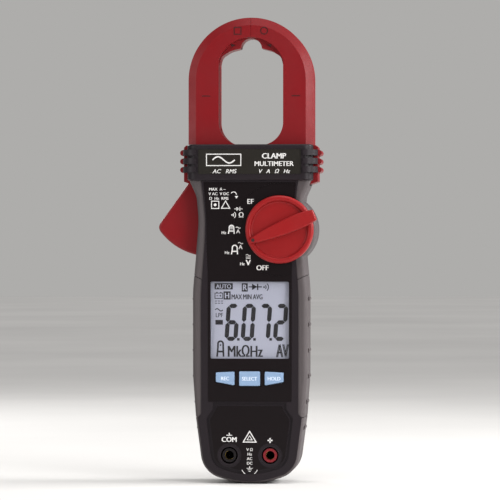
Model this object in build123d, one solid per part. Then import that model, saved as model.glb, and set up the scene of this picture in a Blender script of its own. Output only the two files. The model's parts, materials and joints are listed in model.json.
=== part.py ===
"""Hand-held clamp meter: an electrician's multimeter with a pair of jaws that close round a conductor.

Frame, in millimetres: +X to the user's right, -Y towards the user (the display faces -Y), +Z towards
the jaw tips.  The origin is the centre of the conductor seat, the round notch between the jaw tips,
at the middle of the jaws' thickness.  Outlines are drawn in X and Z and given their depth along Y.
"""
from build123d import *
import math
import os

os.makedirs("parts", exist_ok=True)

# ---------------------------------------------------------------- driving dimensions
# jaws and their magnetic core
OPENING_HALF = 15.1         # half width of the conductor opening
CORE_INNER_R = OPENING_HALF + 5.3
CORE_WIDTH = 5.6
JAW_R = CORE_INNER_R + CORE_WIDTH + 3.3   # outer radius of the closed jaws
JAW_ARC_Z = -14.7           # centre of the jaws' outer and core arcs
JAW_HALF_T = 8.0            # half thickness of the jaws
JAW_CLEAR = 0.3             # between the jaws' feet and the casing, front and rear
JAW_GAP = 0.06              # each jaw's tip face from the centre plane
JAW_BEVEL = 3.6             # width of the bevel round the jaws' outer edge
JAW_BEVEL_DEPTH = 1.5
OPENING_FOOT_R = 10.8       # radius of the opening's lower corners
OPENING_ROOF_R = OPENING_HALF + 0.9   # arc that rounds the roof of the opening at the jaws' faces
OPENING_ROOF_Z = -10.6
WEB_HALF_T = 5.2            # half thickness of the web that carries the conductor seat
SEAT_R = 5.0                # conductor seat
SEAT_SHOULDER_Z = 0.3       # where the seat's wall meets the sloping roof
ROOF_MID_X = 9.8            # the roof slopes gently to here, then more steeply
ROOF_MID_Z = -0.9
ROOF_EDGE_X = OPENING_HALF - 1.1   # where it turns down into the jaw's side
ROOF_EDGE_Z = -3.6
MARK_DEPTH = 0.3            # engraved marks on the jaws
MARK_LINE = 0.5

# winding and the jaw shells' inside
CORE_HALF_T = 3.5
CORE_FOOT_TOP = -49.6
CORE_CLEAR = 0.1
BOBBIN_TOP = -19.0
BOBBIN_LENGTH = 23.0
BOBBIN_WALL = 0.6
BOBBIN_FLANGE = 1.0
WINDING_INNER = 2.2         # winding build-up on the opening's side
WINDING_OUTER = 1.3
WINDING_FACE = 2.2          # winding build-up front and rear
WINDING_CLEAR = 0.4

# collar (the finger guard between jaws and body)
COLLAR_TOP = -44.8
COLLAR_FOOT = -61.6
COLLAR_HALF = 29.3
COLLAR_FRONT = -16.0        # depth of the collar's front face
COLLAR_WALL = 2.2           # its rear face is level with the casing's, so that the meter lies flat
COLLAR_EDGE_R = 4.5
RIDGE_HALF = 31.4           # collar ridges, half width
RIDGE_PROUD = 1.1           # and how far they stand off the front face; flush at the rear
RIDGE_HEIGHT = 2.7
RIDGE_PITCH = 3.95
RIDGE_TOP_Z = -48.6
RIDGE_COUNT = 3
RIDGE_INNER_X = 24.8
JAW_FOOT_HALF = 31.3        # jaw foot, half width at the collar
JAW_RIDGE_HALF = 33.1
JAW_FOOT_Z = -63.2
PLATE_HALF = 24.0
PLATE_TOP = -47.0
PLATE_FOOT = -58.7
PLATE_T = 0.5

# pivot and trigger
PIVOT_X = -19.3
PIVOT_Z = -67.6
JAW_SWING = 24.0            # degrees that the moving jaw opens
PIVOT_PIN_R = 2.0
PIVOT_RUNNING = 0.06        # radial clearance of the jaw on its pin
HUB_R = 6.4
SPRING_ROOM_R = HUB_R - 1.6
SPRING_HALF = 3.6           # half width of the spring's room in the hub
SPRING_WIRE_R = 0.45
SPRING_TURNS = 5
TRIGGER_R = 29.3            # trigger edge from the pivot
TRIGGER_HALF_T = 6.0
TRIGGER_TIP_R = 3.4
TRIGGER_ROUND = 1.1
SLOT_CLEAR = 0.4
PIVOT_RELIEF_R = 13.6       # room that the swinging foot and hub need
JAW_ROOM = JAW_HALF_T + JAW_CLEAR

# casing
BODY_FRONT = -14.5
BODY_REAR = 15.5
PARTING_Y = 0.0
BODY_FOOT = -202.5
DISPLAY_HALF = 26.7         # half width beside the display
WAIST_HALF = 24.0
WAIST_FACE = 3.3            # width of the grip seen from the front, at the waist
GRIP_DROP = 0.5             # the soft grips lie a little below the hard faces
GRIP_FRONT = BODY_FRONT + GRIP_DROP
GRIP_REAR = BODY_REAR - GRIP_DROP
GRIP_T = 1.8
GRIP_LIP = 2.5              # depth of the grips' front and rear lips
GRIP_ROUND = 2.2
GRIP_FACE = 4.0             # width of the grip seen from the front, beside the display
FOOT_RIM = 1.0              # the same round the foot
GRIP_SEAM_TOP = -107.5
GRIP_SEAM_FOOT = -171.6
GRIP_SEAM_GAP = 0.15
GRIP_SEAM_SLOPE = 0.5       # rise of the upper seam towards the flank
WALL = 2.0
SIDE_WALL = 1.8
NUB_COUNT = 6
NUB_PITCH = 12.0
NUB_TOP_Z = -116.7
NUB_R = 1.3
NUB_PROUD = 0.7
NUB_HALF_LENGTH = 6.5

# front panel, shield and display
PANEL_T = 0.5
PANEL_HALF = 19.6
PANEL_FOOT = -164.5
SHIELD_TOP = PANEL_FOOT - 0.2
SHIELD_TOP_HALF = 17.2
SHIELD_HALF = 20.2
SHIELD_FOOT = BODY_FOOT + 4.1
SHIELD_GROOVE = 1.2
SHIELD_GROOVE_DEPTH = 0.9
SHIELD_STEP = 0.45          # shallow step along the groove's inner side
SHIELD_STEP_DEPTH = 0.3
WINDOW_HALF = 18.3
WINDOW_TOP = -108.6
WINDOW_FOOT = -144.4
WINDOW_R = 0.6
LENS_T = 1.5
LENS_SET_BACK = 0.3
LENS_CLEAR = 0.15
LCD_T = 2.6
LCD_MARGIN = 1.0
LCD_FRAME_WALL = 1.2
LCD_FRAME_R = 1.6
ZEBRA_W = 2.2

# electronics
BOARD_FRONT = -9.0
BOARD_T = 1.6
BOARD_TOP = -74.0
BOARD_EDGE = 0.8            # board edge to casing wall

# dial
DIAL_X = 14.05
DIAL_Z = -84.4
DIAL_R = 15.8
GUARD_R = DIAL_R + 1.0      # casing bulge behind the dial
DIAL_LIFT = 0.35            # gap under the knob
DIAL_SKIRT_T = 4.3
DIAL_LIP = 2.5              # width of the lip round the dish
DIAL_LIP_ROUND = 1.2
DIAL_FACE_DROP = 1.7        # dish on each side of the grip bar
DIAL_BAR_TOP = -21.5
DIAL_BAR_ROUND = 0.55
DIAL_BAR_END_R = 0.8
DIAL_BAR_TILT = 22.5        # degrees, the bar's rise to the right
DIAL_HUB_R = 5.0
DIAL_HUB_CLEAR = 0.2
DIAL_RING_R = DIAL_R + 5.8  # fine ring engraved round it
ROTOR_R = 11.8
ROTOR_T = 2.6
ROTOR_CLEAR = 0.6
DIAL_DOT_R = 0.8
DIAL_DOT_AT = 13.0

# push buttons
BUTTON_TOP = -150.3
BUTTON_FOOT = -157.0
BUTTON_W = 9.7
SIDE_BUTTON_W = 8.7
BUTTON_SPACE = 2.2
BUTTON_SLANT = 1.6          # rise of the outer buttons' lower edge
SIDE_BUTTON_X = (BUTTON_W + SIDE_BUTTON_W) / 2 + BUTTON_SPACE
BUTTON_PROUD = 0.9
BUTTON_CLEAR = 0.25
BUTTON_FLANGE = 0.8
BUTTON_FLANGE_T = 0.7
BUTTON_TRAVEL = 0.7
BUTTON_STOP = 0.15          # left between flange and mat at full travel

# input sockets
JACK_X = 9.5
JACK_Z = BODY_FOOT + 13.2
SOCKET_R = 2.0
SOCKET_LENGTH = 15.0
SOCKET_FRONT = -11.5
CONTACT_R = SOCKET_R + 0.7
POST_R = CONTACT_R + 0.55
MOAT_R = POST_R + 0.7
JACK_RING_R = MOAT_R + 1.65
JACK_TUBE_FOOT = -1.5
MOUTH_R = SOCKET_R + 0.1
STRAP_HALF = 1.4            # strap from a socket to the board
STRAP_LENGTH = 11.0
STRAP_T = 0.5

# batteries and their cover
CELL_R = 5.2
CELL_LENGTH = 43.2
CELL_NUB_R = 1.9
CELL_NUB = 1.0
CELL_X = CELL_R + 0.7
BAY_TOP = -110.0
BAY_LENGTH = 50.6
BAY_HALF = CELL_X + CELL_R + 0.8
BAY_WALL = 1.5
COVER_HALF = BAY_HALF + 3.7
COVER_LIP = 3.2             # cover beyond the bay, top
COVER_TONGUE = 8.4          # cover beyond the bay, foot, where its screw sits
COVER_T = 2.0
CELL_Y = BODY_REAR - COVER_T - CELL_R - 0.4
BAY_FLOOR_Y = CELL_Y - CELL_R - 0.9
COVER_CLEAR = 0.2
COVER_SEAT = 1.5            # ledge under the cover
COVER_R = 3.0
COVER_SCREW_HEAD_R = 3.2
COVER_SCREW_R = 1.4
COVER_SCREW_REACH = 6.0
COVER_SCREW_Z = BAY_TOP - BAY_LENGTH - COVER_TONGUE / 2
COVER_INNER_Y = BODY_REAR - COVER_T

# case screws
SCREW_R = 1.25
SCREW_HEAD_R = 2.4
SCREW_HEAD_T = 1.8
SCREW_SEAT_Y = 5.0          # where the heads bear in the rear shell
SCREW_REACH = 11.0
BOSS_R = 3.1
PIVOT_BOSS_R = 3.7
BOSS_COUNTERBORE = 2.7
UPPER_SCREW_X = 18.0
UPPER_SCREW_Z = -101.5
LOWER_SCREW_X = 16.2
LOWER_SCREW_Z = -178.0
NECK_SCREW_X = 19.3
NECK_SCREW_Z = -66.6

# leads from the winding to the board
LEAD_R = 0.5
LEAD_Y = 4.5
LEAD_HIGH_X = CORE_INNER_R - 2.2
LEAD_LOW_X = NECK_SCREW_X - BOSS_R - 2.2
LEAD_TOP_Z = BOBBIN_TOP - BOBBIN_LENGTH - 0.2
LEAD_BEND_Z = CORE_FOOT_TOP - 5.0
LEAD_FOOT_Z = NECK_SCREW_Z - 11.4

FAR = 90.0                  # reach of the tools that cut a shape in two


# ---------------------------------------------------------------- helpers
def slab(outline, near, far):
    """Solid of an X-Z outline between two depths along Y."""
    return extrude(Plane.XZ.offset(-far) * outline, amount=far - near)


def closed(points, radii):
    """Face of a closed outline with a corner radius at each point."""
    return make_face(FilletPolyline(*points, radius=radii, close=True))


def mirrored(half):
    """Face symmetric about X = 0, from its right-hand points (x, z, radius) listed top to foot."""
    left = [(-x, z, r) for x, z, r in reversed(half) if x > 0]
    ring = list(half) + left
    return closed([(x, z) for x, z, _ in ring], [r for _, _, r in ring])


def block(x0, x1, z0, z1, corner=0.0):
    """Rectangle between two corners, optionally with round corners."""
    shape = Rectangle(x1 - x0, z1 - z0)
    if corner > 0:
        shape = RectangleRounded(x1 - x0, z1 - z0, corner)
    return Pos((x0 + x1) / 2, (z0 + z1) / 2) * shape


def disc(x, z, radius):
    """Circle at a place in the X-Z plane."""
    return Pos(x, z) * Circle(radius)


def box(x0, x1, y0, y1, z0, z1):
    """Plain block between two corners."""
    return slab(block(x0, x1, z0, z1), y0, y1)


def rod(x, z, radius, near, far):
    """Round bar along Y."""
    return slab(disc(x, z, radius), near, far)


def rounded(solid, edges, radius):
    """Round edges, a little less where the full radius does not fit the solid's size."""
    for share in (1.0, 0.85, 0.7, 0.55):
        try:
            return fillet(edges, radius * share)
        except ValueError:
            continue
    return solid


def save(name, shape):
    """Write one sub-part."""
    export_step(shape, f"parts/{name}.step")


# ---------------------------------------------------------------- shared outlines
def jaw_outer():
    """Outer outline of the two closed jaws, down into the collar."""
    arms = block(-JAW_R, JAW_R, COLLAR_FOOT, JAW_ARC_Z)
    return disc(0, JAW_ARC_Z, JAW_R) + arms


def opening_walls(top):
    """The opening's straight sides and round lower corners, up to a height."""
    foot = COLLAR_TOP - 0.2
    low = block(-OPENING_HALF, OPENING_HALF, foot, top)
    corners = low.vertices().group_by(Axis.Y)[0]
    return fillet(corners, OPENING_FOOT_R)


def opening_at_face():
    """Conductor opening in the jaws' faces: a round roof."""
    roof_edge = OPENING_ROOF_Z + math.sqrt(OPENING_ROOF_R**2 - OPENING_HALF**2)
    above = block(-OPENING_HALF, OPENING_HALF, OPENING_ROOF_Z, FAR)
    roof = disc(0, OPENING_ROOF_Z, OPENING_ROOF_R) & above
    return roof + opening_walls(roof_edge - 1.0)


def opening_at_web():
    """Conductor opening in the web: sloping roof and the round conductor seat."""
    foot = -FAR / 2
    half = [
        (SEAT_R, SEAT_SHOULDER_Z, 0.4),
        (ROOF_MID_X, ROOF_MID_Z, 8.0),
        (ROOF_EDGE_X, ROOF_EDGE_Z, 4.0),
        (OPENING_HALF, ROOF_EDGE_Z - 4.5, 3.0),
        (OPENING_HALF, foot, 0.0),
    ]
    roof = mirrored(half) & block(-OPENING_HALF, OPENING_HALF, -2.5 * OPENING_HALF, FAR)
    seat = disc(0, 0, SEAT_R) + block(-SEAT_R, SEAT_R, SEAT_SHOULDER_Z - 1.0, SEAT_SHOULDER_Z)
    return roof + seat + opening_walls(ROOF_EDGE_Z - 7.0)


def core_outline(side, spread=0.0):
    """One jaw's core, side +1 right or -1 left: half ring, arm and foot, ending at the tip face."""
    inner = CORE_INNER_R - spread
    outer = CORE_INNER_R + CORE_WIDTH + spread
    tip = JAW_GAP - spread
    foot_top = CORE_FOOT_TOP + spread
    foot = CORE_FOOT_TOP - CORE_WIDTH - spread
    ring = disc(0, JAW_ARC_Z, outer) - disc(0, JAW_ARC_Z, inner)
    shape = ring & block(tip, outer, JAW_ARC_Z, FAR)
    shape += block(inner, outer, foot, JAW_ARC_Z)
    shape += block(tip, outer, foot, foot_top)
    return shape if side > 0 else mirror(shape, about=Plane.YZ)


def body_outline(inset=0.0):
    """Outline of the casing with its grips, from under the collar to the foot, or a line inside it."""
    corner_x = DISPLAY_HALF - 4.8
    corner_z = BODY_FOOT + 5.0
    half = [
        (COLLAR_HALF - 0.5 - inset, COLLAR_FOOT + 1.0, 0.0),
        (WAIST_HALF + 1.0 - inset, PIVOT_Z - 1.4, 10.0 + inset),
        (WAIST_HALF - inset, DIAL_Z + 4.4, 50.0),
        (WAIST_HALF + 1.3 - inset, DIAL_Z - 12.6, 50.0),
        (DISPLAY_HALF - inset, WINDOW_TOP - 4.0, 60.0),
        (DISPLAY_HALF - 0.05 - inset, WINDOW_FOOT - 8.0, 60.0),
        (DISPLAY_HALF - 1.4 - inset, GRIP_SEAM_FOOT, 60.0),
        (corner_x - 0.9 * inset, corner_z + 0.81 * inset, 12.0 - inset),
        (0.0, BODY_FOOT - 1.6 + 1.03 * inset, 40.0 - inset),
    ]
    return mirrored(half) + disc(DIAL_X, DIAL_Z, GUARD_R - inset)


def face_outline(inset=0.0):
    """Outline of the hard front and rear faces, inside the grips, or a line inside it."""
    edge = DISPLAY_HALF - GRIP_FACE - inset
    waist = WAIST_HALF - WAIST_FACE - inset
    half = [
        (waist + 2.0, COLLAR_FOOT + 1.0, 0.0),
        (waist + 1.0, PIVOT_Z - 1.3, 20.0),
        (waist, DIAL_Z + 4.4, 40.0),
        (waist + 0.3, DIAL_Z - 6.6, 40.0),
        (edge - 0.4, GRIP_SEAM_TOP - 0.6, 20.0),
        (edge, WINDOW_TOP - 6.0, 40.0),
        (edge - 0.1, GRIP_SEAM_FOOT + 1.6, 1.0),
        (edge + 2.6, GRIP_SEAM_FOOT - 1.2, 0.0),
        (edge + 2.6, BODY_FOOT - 5.0, 0.0),
    ]
    hub = disc(DIAL_X, DIAL_Z, ROTOR_R + ROTOR_CLEAR + WALL - inset)
    return (mirrored(half) & body_outline(FOOT_RIM + inset)) + hub


def panel_outline(gap=0.0):
    """Outline of the dark panel round dial, display and buttons."""
    waist = WAIST_HALF - WAIST_FACE - 0.5 - gap
    half = [
        (waist + 1.4, COLLAR_FOOT - 0.7 - gap, 0.3),
        (waist + 0.8, PIVOT_Z - 1.4, 20.0),
        (waist, DIAL_Z + 4.4, 40.0),
        (waist, DIAL_Z - 6.6, 40.0),
        (PANEL_HALF - gap, GRIP_SEAM_TOP + 3.5, 10.0),
        (PANEL_HALF - 0.1 - gap, PANEL_FOOT + gap, 0.6),
    ]
    return mirrored(half)


def shield_outline(inset=0.0):
    """Shield round the sockets: narrow top, shoulders, tapered sides and a round foot."""
    half = [
        (SHIELD_TOP_HALF - inset, SHIELD_TOP - inset, 0.8),
        (SHIELD_TOP_HALF - 0.2 - inset, SHIELD_TOP - 2.8, 2.4),
        (SHIELD_HALF - inset, SHIELD_TOP - 7.4 - 0.4 * inset, 2.4),
        (SHIELD_HALF - 2.6 - 0.9 * inset, SHIELD_FOOT + 4.0 + 0.8 * inset, 8.0 - inset),
        (0.0, SHIELD_FOOT - 1.0 + inset, 34.0 - inset),
    ]
    return mirrored(half)


BODY = body_outline()
FACE = face_outline()
SHELL_SIDE = body_outline(GRIP_T)
CAVITY_SIDE = body_outline(GRIP_T + SIDE_WALL)
CAVITY_FACE = face_outline(SIDE_WALL) & CAVITY_SIDE


def boss_places():
    """Centres of the case screws."""
    sides = (-1, 1)
    upper = [(s * UPPER_SCREW_X, UPPER_SCREW_Z) for s in sides]
    lower = [(s * LOWER_SCREW_X, LOWER_SCREW_Z) for s in sides]
    return [(NECK_SCREW_X, NECK_SCREW_Z)] + upper + lower


# ---------------------------------------------------------------- jaws
def jaw_blank():
    """Both jaws in one piece, solid, with bevelled outer edges and the stepped opening."""
    straight = JAW_HALF_T - JAW_BEVEL_DEPTH
    taper = math.degrees(math.atan(JAW_BEVEL / JAW_BEVEL_DEPTH))
    outer = jaw_outer()
    blank = slab(outer, -straight, straight)
    blank += extrude(Plane.XZ.offset(straight) * outer, amount=JAW_BEVEL_DEPTH, taper=taper)
    back = Plane.XZ.offset(-straight)
    blank += extrude(back * outer, amount=-JAW_BEVEL_DEPTH, taper=taper)
    blank &= slab(block(-FAR, FAR, CORE_FOOT_TOP, FAR), -FAR, FAR)
    for near, far in ((-JAW_HALF_T - 1, -WEB_HALF_T), (WEB_HALF_T, JAW_HALF_T + 1)):
        blank -= slab(opening_at_face(), near, far)
    blank -= slab(opening_at_web(), -WEB_HALF_T, WEB_HALF_T)
    return blank


def foot_outline(side):
    """One jaw's foot behind the collar, with its finger ridges and chamfered underside."""
    low_x = JAW_FOOT_HALF - 3.2
    half = [
        (0, COLLAR_TOP - 0.3),
        (JAW_FOOT_HALF - 1.0, COLLAR_TOP - 0.3),
        (JAW_FOOT_HALF, COLLAR_TOP - 1.3),
        (JAW_FOOT_HALF, COLLAR_FOOT - 0.4),
        (low_x, JAW_FOOT_Z),
        (0, JAW_FOOT_Z),
    ]
    shape = make_face(Polyline(*half, close=True))
    for row in range(RIDGE_COUNT):
        z = RIDGE_TOP_Z - row * RIDGE_PITCH
        half_h = RIDGE_HEIGHT / 2
        shape += block(JAW_FOOT_HALF - 6, JAW_RIDGE_HALF, z - half_h, z + half_h, half_h - 0.05)
    return shape if side > 0 else mirror(shape, about=Plane.YZ)


def jaw_marks(side):
    """Engraved marks: conductor-centre tick, and a small square or ring near the tip."""
    tick = Pos(side * 21.0, -22.0) * Rectangle(3.9, MARK_LINE)
    sign_at = Pos(side * 6.2, 8.4)
    size = 3.7
    inner = size - 2 * MARK_LINE
    if side < 0:
        sign = sign_at * (Rectangle(size, size) - Rectangle(inner, inner))
    else:
        sign = sign_at * (Circle(size / 2) - Circle(inner / 2))
    return slab(tick + sign, -FAR, -JAW_HALF_T + MARK_DEPTH)


def jaw_arrow(side):
    """Raised-edge arrow on the web, pointing to the conductor seat."""
    arrow = make_face(Polyline((7.2, 2.1), (9.8, 2.5), (9.2, 0.6), close=True))
    shape = arrow if side > 0 else mirror(arrow, about=Plane.YZ)
    return slab(shape, -WEB_HALF_T - 1, -WEB_HALF_T + MARK_DEPTH)


def side_of(side, near=JAW_GAP):
    """Half-space on one side of the centre plane."""
    x0, x1 = (near, FAR) if side > 0 else (-FAR, -near)
    return box(x0, x1, -FAR, FAR, -3 * FAR, FAR)


def trigger_outline():
    """Thumb trigger: a sector about the jaw pivot with a rounded tip."""
    root = (-JAW_FOOT_HALF + 2.2, COLLAR_FOOT - 0.6)
    slope = 1.404
    reach = 27.0
    wedge = make_face(
        Polyline(
            root,
            (root[0] - reach / slope, root[1] - reach),
            (root[0] - reach / slope, PIVOT_Z - 1.2 * TRIGGER_R),
            (PIVOT_X - 3.2, PIVOT_Z - 1.2 * TRIGGER_R),
            (PIVOT_X + 1.0, PIVOT_Z),
            (PIVOT_X + 1.0, root[1]),
            close=True,
        )
    )
    sector = wedge & disc(PIVOT_X, PIVOT_Z, TRIGGER_R)
    tip = sector.vertices().sort_by(Axis.X)[0]
    return fillet(tip, TRIGGER_TIP_R)


def moving_jaw():
    """Left jaw, its foot, pivot hub and trigger in one solid before it is parted."""
    shape = jaw_blank() & side_of(-1)
    foot = slab(foot_outline(-1), -JAW_HALF_T, JAW_HALF_T)
    foot -= slab(opening_at_face(), -FAR, FAR)
    right_limit = box(PIVOT_X, 0, -FAR, FAR, -FAR, CORE_FOOT_TOP - CORE_WIDTH - 2.5)
    shape += (foot - right_limit) & side_of(-1)
    shape += rod(PIVOT_X, PIVOT_Z, HUB_R, -JAW_HALF_T, JAW_HALF_T)
    trigger = slab(trigger_outline(), -TRIGGER_HALF_T, TRIGGER_HALF_T)
    ends = trigger.faces().sort_by(Axis.Y)
    shape += fillet(ends[0].edges() + ends[-1].edges(), TRIGGER_ROUND)
    shape -= rod(PIVOT_X, PIVOT_Z, PIVOT_PIN_R + PIVOT_RUNNING, -FAR, FAR)
    shape -= slab(core_outline(-1, CORE_CLEAR), -CORE_HALF_T - CORE_CLEAR, CORE_HALF_T + CORE_CLEAR)
    shape -= rod(PIVOT_X, PIVOT_Z, SPRING_ROOM_R, -SPRING_HALF, SPRING_HALF)
    shape -= jaw_marks(-1) + jaw_arrow(-1)
    return shape


def winding_room():
    """Space in the fixed jaw's arm for the bobbin and winding."""
    inner = CORE_INNER_R - WINDING_INNER - WINDING_CLEAR
    outer = CORE_INNER_R + CORE_WIDTH + WINDING_OUTER + WINDING_CLEAR
    half = CORE_HALF_T + WINDING_FACE + WINDING_CLEAR
    foot = BOBBIN_TOP - BOBBIN_LENGTH
    return box(inner, outer, -half, half, foot - WINDING_CLEAR, BOBBIN_TOP + WINDING_CLEAR)


def fixed_jaw():
    """Right jaw with its foot and the tongue that the neck screw holds, before it is parted."""
    shape = jaw_blank() & side_of(1)
    foot = slab(foot_outline(1), -JAW_HALF_T, JAW_HALF_T)
    foot -= slab(opening_at_face(), -FAR, FAR)
    left_limit = box(0, NECK_SCREW_X - 6.0, -FAR, FAR, -FAR, CORE_FOOT_TOP - CORE_WIDTH - 2.5)
    shape += (foot - left_limit) & side_of(1)
    tongue = block(NECK_SCREW_X - 6.0, NECK_SCREW_X + 1.5, NECK_SCREW_Z - 5.4, COLLAR_FOOT)
    shape += slab(tongue, -TRIGGER_HALF_T, TRIGGER_HALF_T)
    shape -= rod(NECK_SCREW_X, NECK_SCREW_Z, BOSS_R + 0.4, -FAR, FAR)
    shape -= slab(core_outline(1, CORE_CLEAR), -CORE_HALF_T - CORE_CLEAR, CORE_HALF_T + CORE_CLEAR)
    shape -= winding_room()
    near, far = LEAD_Y - 1.6 * LEAD_R, LEAD_Y + 1.6 * LEAD_R
    room = 3.0 * LEAD_R
    shape -= box(LEAD_HIGH_X - room, LEAD_HIGH_X + room, near, far, LEAD_BEND_Z, LEAD_TOP_Z + 1)
    shape -= box(LEAD_LOW_X - room, LEAD_HIGH_X + room, near, far, NECK_SCREW_Z - 9, LEAD_BEND_Z)
    shape -= jaw_marks(1) + jaw_arrow(1)
    return shape


def save_jaw(name, shape):
    """Part a jaw at mid thickness into its front and rear shells."""
    save(f"{name}_front_shell", shape & box(-FAR, FAR, -FAR, 0, -3 * FAR, FAR))
    save(f"{name}_rear_shell", shape & box(-FAR, FAR, 0, FAR, -3 * FAR, FAR))
    side = 1 if name == "fixed_jaw" else -1
    save(f"{name}_core", slab(core_outline(side), -CORE_HALF_T, CORE_HALF_T))


def save_winding():
    """Bobbin and pick-up winding on the fixed jaw's arm."""
    foot = BOBBIN_TOP - BOBBIN_LENGTH
    x0 = CORE_INNER_R
    x1 = CORE_INNER_R + CORE_WIDTH
    y = CORE_HALF_T

    def ring(grow_in, grow_out, grow_y, z0, z1):
        """Rectangular block round the core arm, without the core's hole."""
        return box(x0 - grow_in, x1 + grow_out, -y - grow_y, y + grow_y, z0, z1)

    hole = ring(CORE_CLEAR, CORE_CLEAR, CORE_CLEAR, -FAR, 0)
    tube = ring(BOBBIN_WALL, BOBBIN_WALL, BOBBIN_WALL, foot, BOBBIN_TOP)
    bobbin = tube
    for z in (foot, BOBBIN_TOP - BOBBIN_FLANGE):
        bobbin += ring(WINDING_INNER, WINDING_OUTER, WINDING_FACE, z, z + BOBBIN_FLANGE)
    save("coil_bobbin", bobbin - hole)
    inset = 0.25
    turns = ring(
        WINDING_INNER - inset,
        WINDING_OUTER - inset,
        WINDING_FACE - inset,
        foot + BOBBIN_FLANGE,
        BOBBIN_TOP - BOBBIN_FLANGE,
    )
    turns = fillet(turns.edges().filter_by(Axis.Z), 0.5)
    save("coil_winding", turns - tube)


def save_pivot():
    """Pivot pin and the torsion spring that closes the jaw."""
    pin = rod(PIVOT_X, PIVOT_Z, PIVOT_PIN_R, GRIP_FRONT + GRIP_LIP, GRIP_REAR - GRIP_LIP)
    save("jaw_pivot_pin", pin)
    coil_r = (PIVOT_PIN_R + SPRING_ROOM_R) / 2
    pitch = 2 * SPRING_WIRE_R + 0.35
    height = SPRING_TURNS * pitch
    path = Helix(pitch=pitch, height=height, radius=coil_r)
    section = Plane(origin=path @ 0, z_dir=path % 0) * Circle(SPRING_WIRE_R)
    coil = sweep(section, path=path)
    coil = Pos(PIVOT_X, height / 2, PIVOT_Z) * Rot(90, 0, 0) * coil
    save("jaw_return_spring", coil)


# ---------------------------------------------------------------- casing
def collar(front):
    """Finger-guard collar on one shell: a hollow plate with round ridges at both ends."""
    face = COLLAR_FRONT if front else BODY_REAR
    inner = -JAW_ROOM if front else JAW_ROOM
    near, far = min(face, inner), max(face, inner)
    plate = slab(block(-COLLAR_HALF, COLLAR_HALF, COLLAR_FOOT, COLLAR_TOP), near, far)
    outer_edges = plate.edges().filter_by(Axis.Z).sort_by(Axis.Y)
    picked = outer_edges[:2] if front else outer_edges[-2:]
    plate = fillet(picked, COLLAR_EDGE_R)
    rim = plate.faces().sort_by(Axis.Y)[0 if front else -1].edges().filter_by(Axis.X)
    plate = fillet(rim, 0.8)
    proud = -RIDGE_PROUD if front else 0.0
    for row in range(RIDGE_COUNT):
        z = RIDGE_TOP_Z - row * RIDGE_PITCH
        y0, y1 = min(face + proud, inner), max(face + proud, inner)
        ridge = box(-RIDGE_HALF, RIDGE_HALF, y0, y1, z - RIDGE_HEIGHT / 2, z + RIDGE_HEIGHT / 2)
        outer = ridge.edges().filter_by(Axis.Z).sort_by(Axis.Y)
        ridge = fillet(outer[:2] if front else outer[-2:], COLLAR_EDGE_R + 1.6)
        ends = side_of(1, RIDGE_INNER_X) + side_of(-1, RIDGE_INNER_X)
        ridge &= ends
        for lobe in ridge.solids():
            long_edges = lobe.edges().filter_by(GeomType.CIRCLE)
            plate += fillet(long_edges, RIDGE_HEIGHT / 2 - 0.15)
    pocket_face = face + (COLLAR_WALL + PLATE_T if front else -COLLAR_WALL - PLATE_T)
    y0, y1 = min(pocket_face, inner), max(pocket_face, inner)
    pocket_half = COLLAR_HALF - COLLAR_WALL
    pocket = block(-pocket_half, pocket_half, COLLAR_FOOT - 2, COLLAR_TOP - COLLAR_WALL)
    return plate, slab(pocket, y0, y1)


def shell_cavity(face_y, lip_y, toward):
    """Inside of one casing half: wide behind the grips' lips, narrower behind the hard face."""
    wide_near, wide_far = sorted((lip_y, toward))
    deep_near, deep_far = sorted((face_y, toward))
    room = slab(CAVITY_SIDE, wide_near, wide_far)
    room += slab(CAVITY_FACE, deep_near, deep_far)
    return room


def jaw_passage():
    """Everything that the jaws' feet, hub and trigger need clear of the casing, at any angle."""
    reach = JAW_FOOT_Z - 0.5
    room = box(-FAR, FAR, -JAW_ROOM, JAW_ROOM, reach, 0)
    relief = disc(PIVOT_X, PIVOT_Z, PIVOT_RELIEF_R) & block(-FAR, PIVOT_X + 9, -FAR, 0)
    room += slab(relief, -JAW_ROOM, JAW_ROOM)
    below = block(-FAR, PIVOT_X + 3, -2 * FAR, PIVOT_Z)
    swept = disc(PIVOT_X, PIVOT_Z, TRIGGER_R + 0.8) & below
    half = TRIGGER_HALF_T + SLOT_CLEAR
    room += slab(swept, -half, half)
    return room


def button_outlines(grow=0.0):
    """The three button caps; the outer ones have slanted edges."""
    centre = block(
        -BUTTON_W / 2 - grow, BUTTON_W / 2 + grow, BUTTON_FOOT - grow, BUTTON_TOP + grow, 0.5
    )
    x0 = SIDE_BUTTON_X - SIDE_BUTTON_W / 2 - grow
    x1 = SIDE_BUTTON_X + SIDE_BUTTON_W / 2 + grow
    top = BUTTON_TOP - 0.1 + grow
    foot = BUTTON_FOOT + 0.2 - grow
    right = closed([(x0, top), (x1, top - 0.4), (x1, foot + BUTTON_SLANT), (x0, foot)], [0.5] * 4)
    left = mirror(right, about=Plane.YZ)
    return {"left": left, "centre": centre, "right": right}


def window_outline(inset=0.0):
    """Display window, or a line inside it."""
    half = WINDOW_HALF - inset
    return block(-half, half, WINDOW_FOOT + inset, WINDOW_TOP - inset, WINDOW_R)


def boss(x, z, radius, front, inner):
    """Post inside one casing half, kept behind the hard face and the side wall."""
    face = BODY_FRONT + WALL if front else BODY_REAR - WALL
    lip = GRIP_FRONT + GRIP_LIP if front else GRIP_REAR - GRIP_LIP
    place = disc(x, z, radius)
    post = slab(place & FACE, min(face, lip), max(face, lip))
    return post + slab(place & SHELL_SIDE, min(lip, inner), max(lip, inner))


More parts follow.
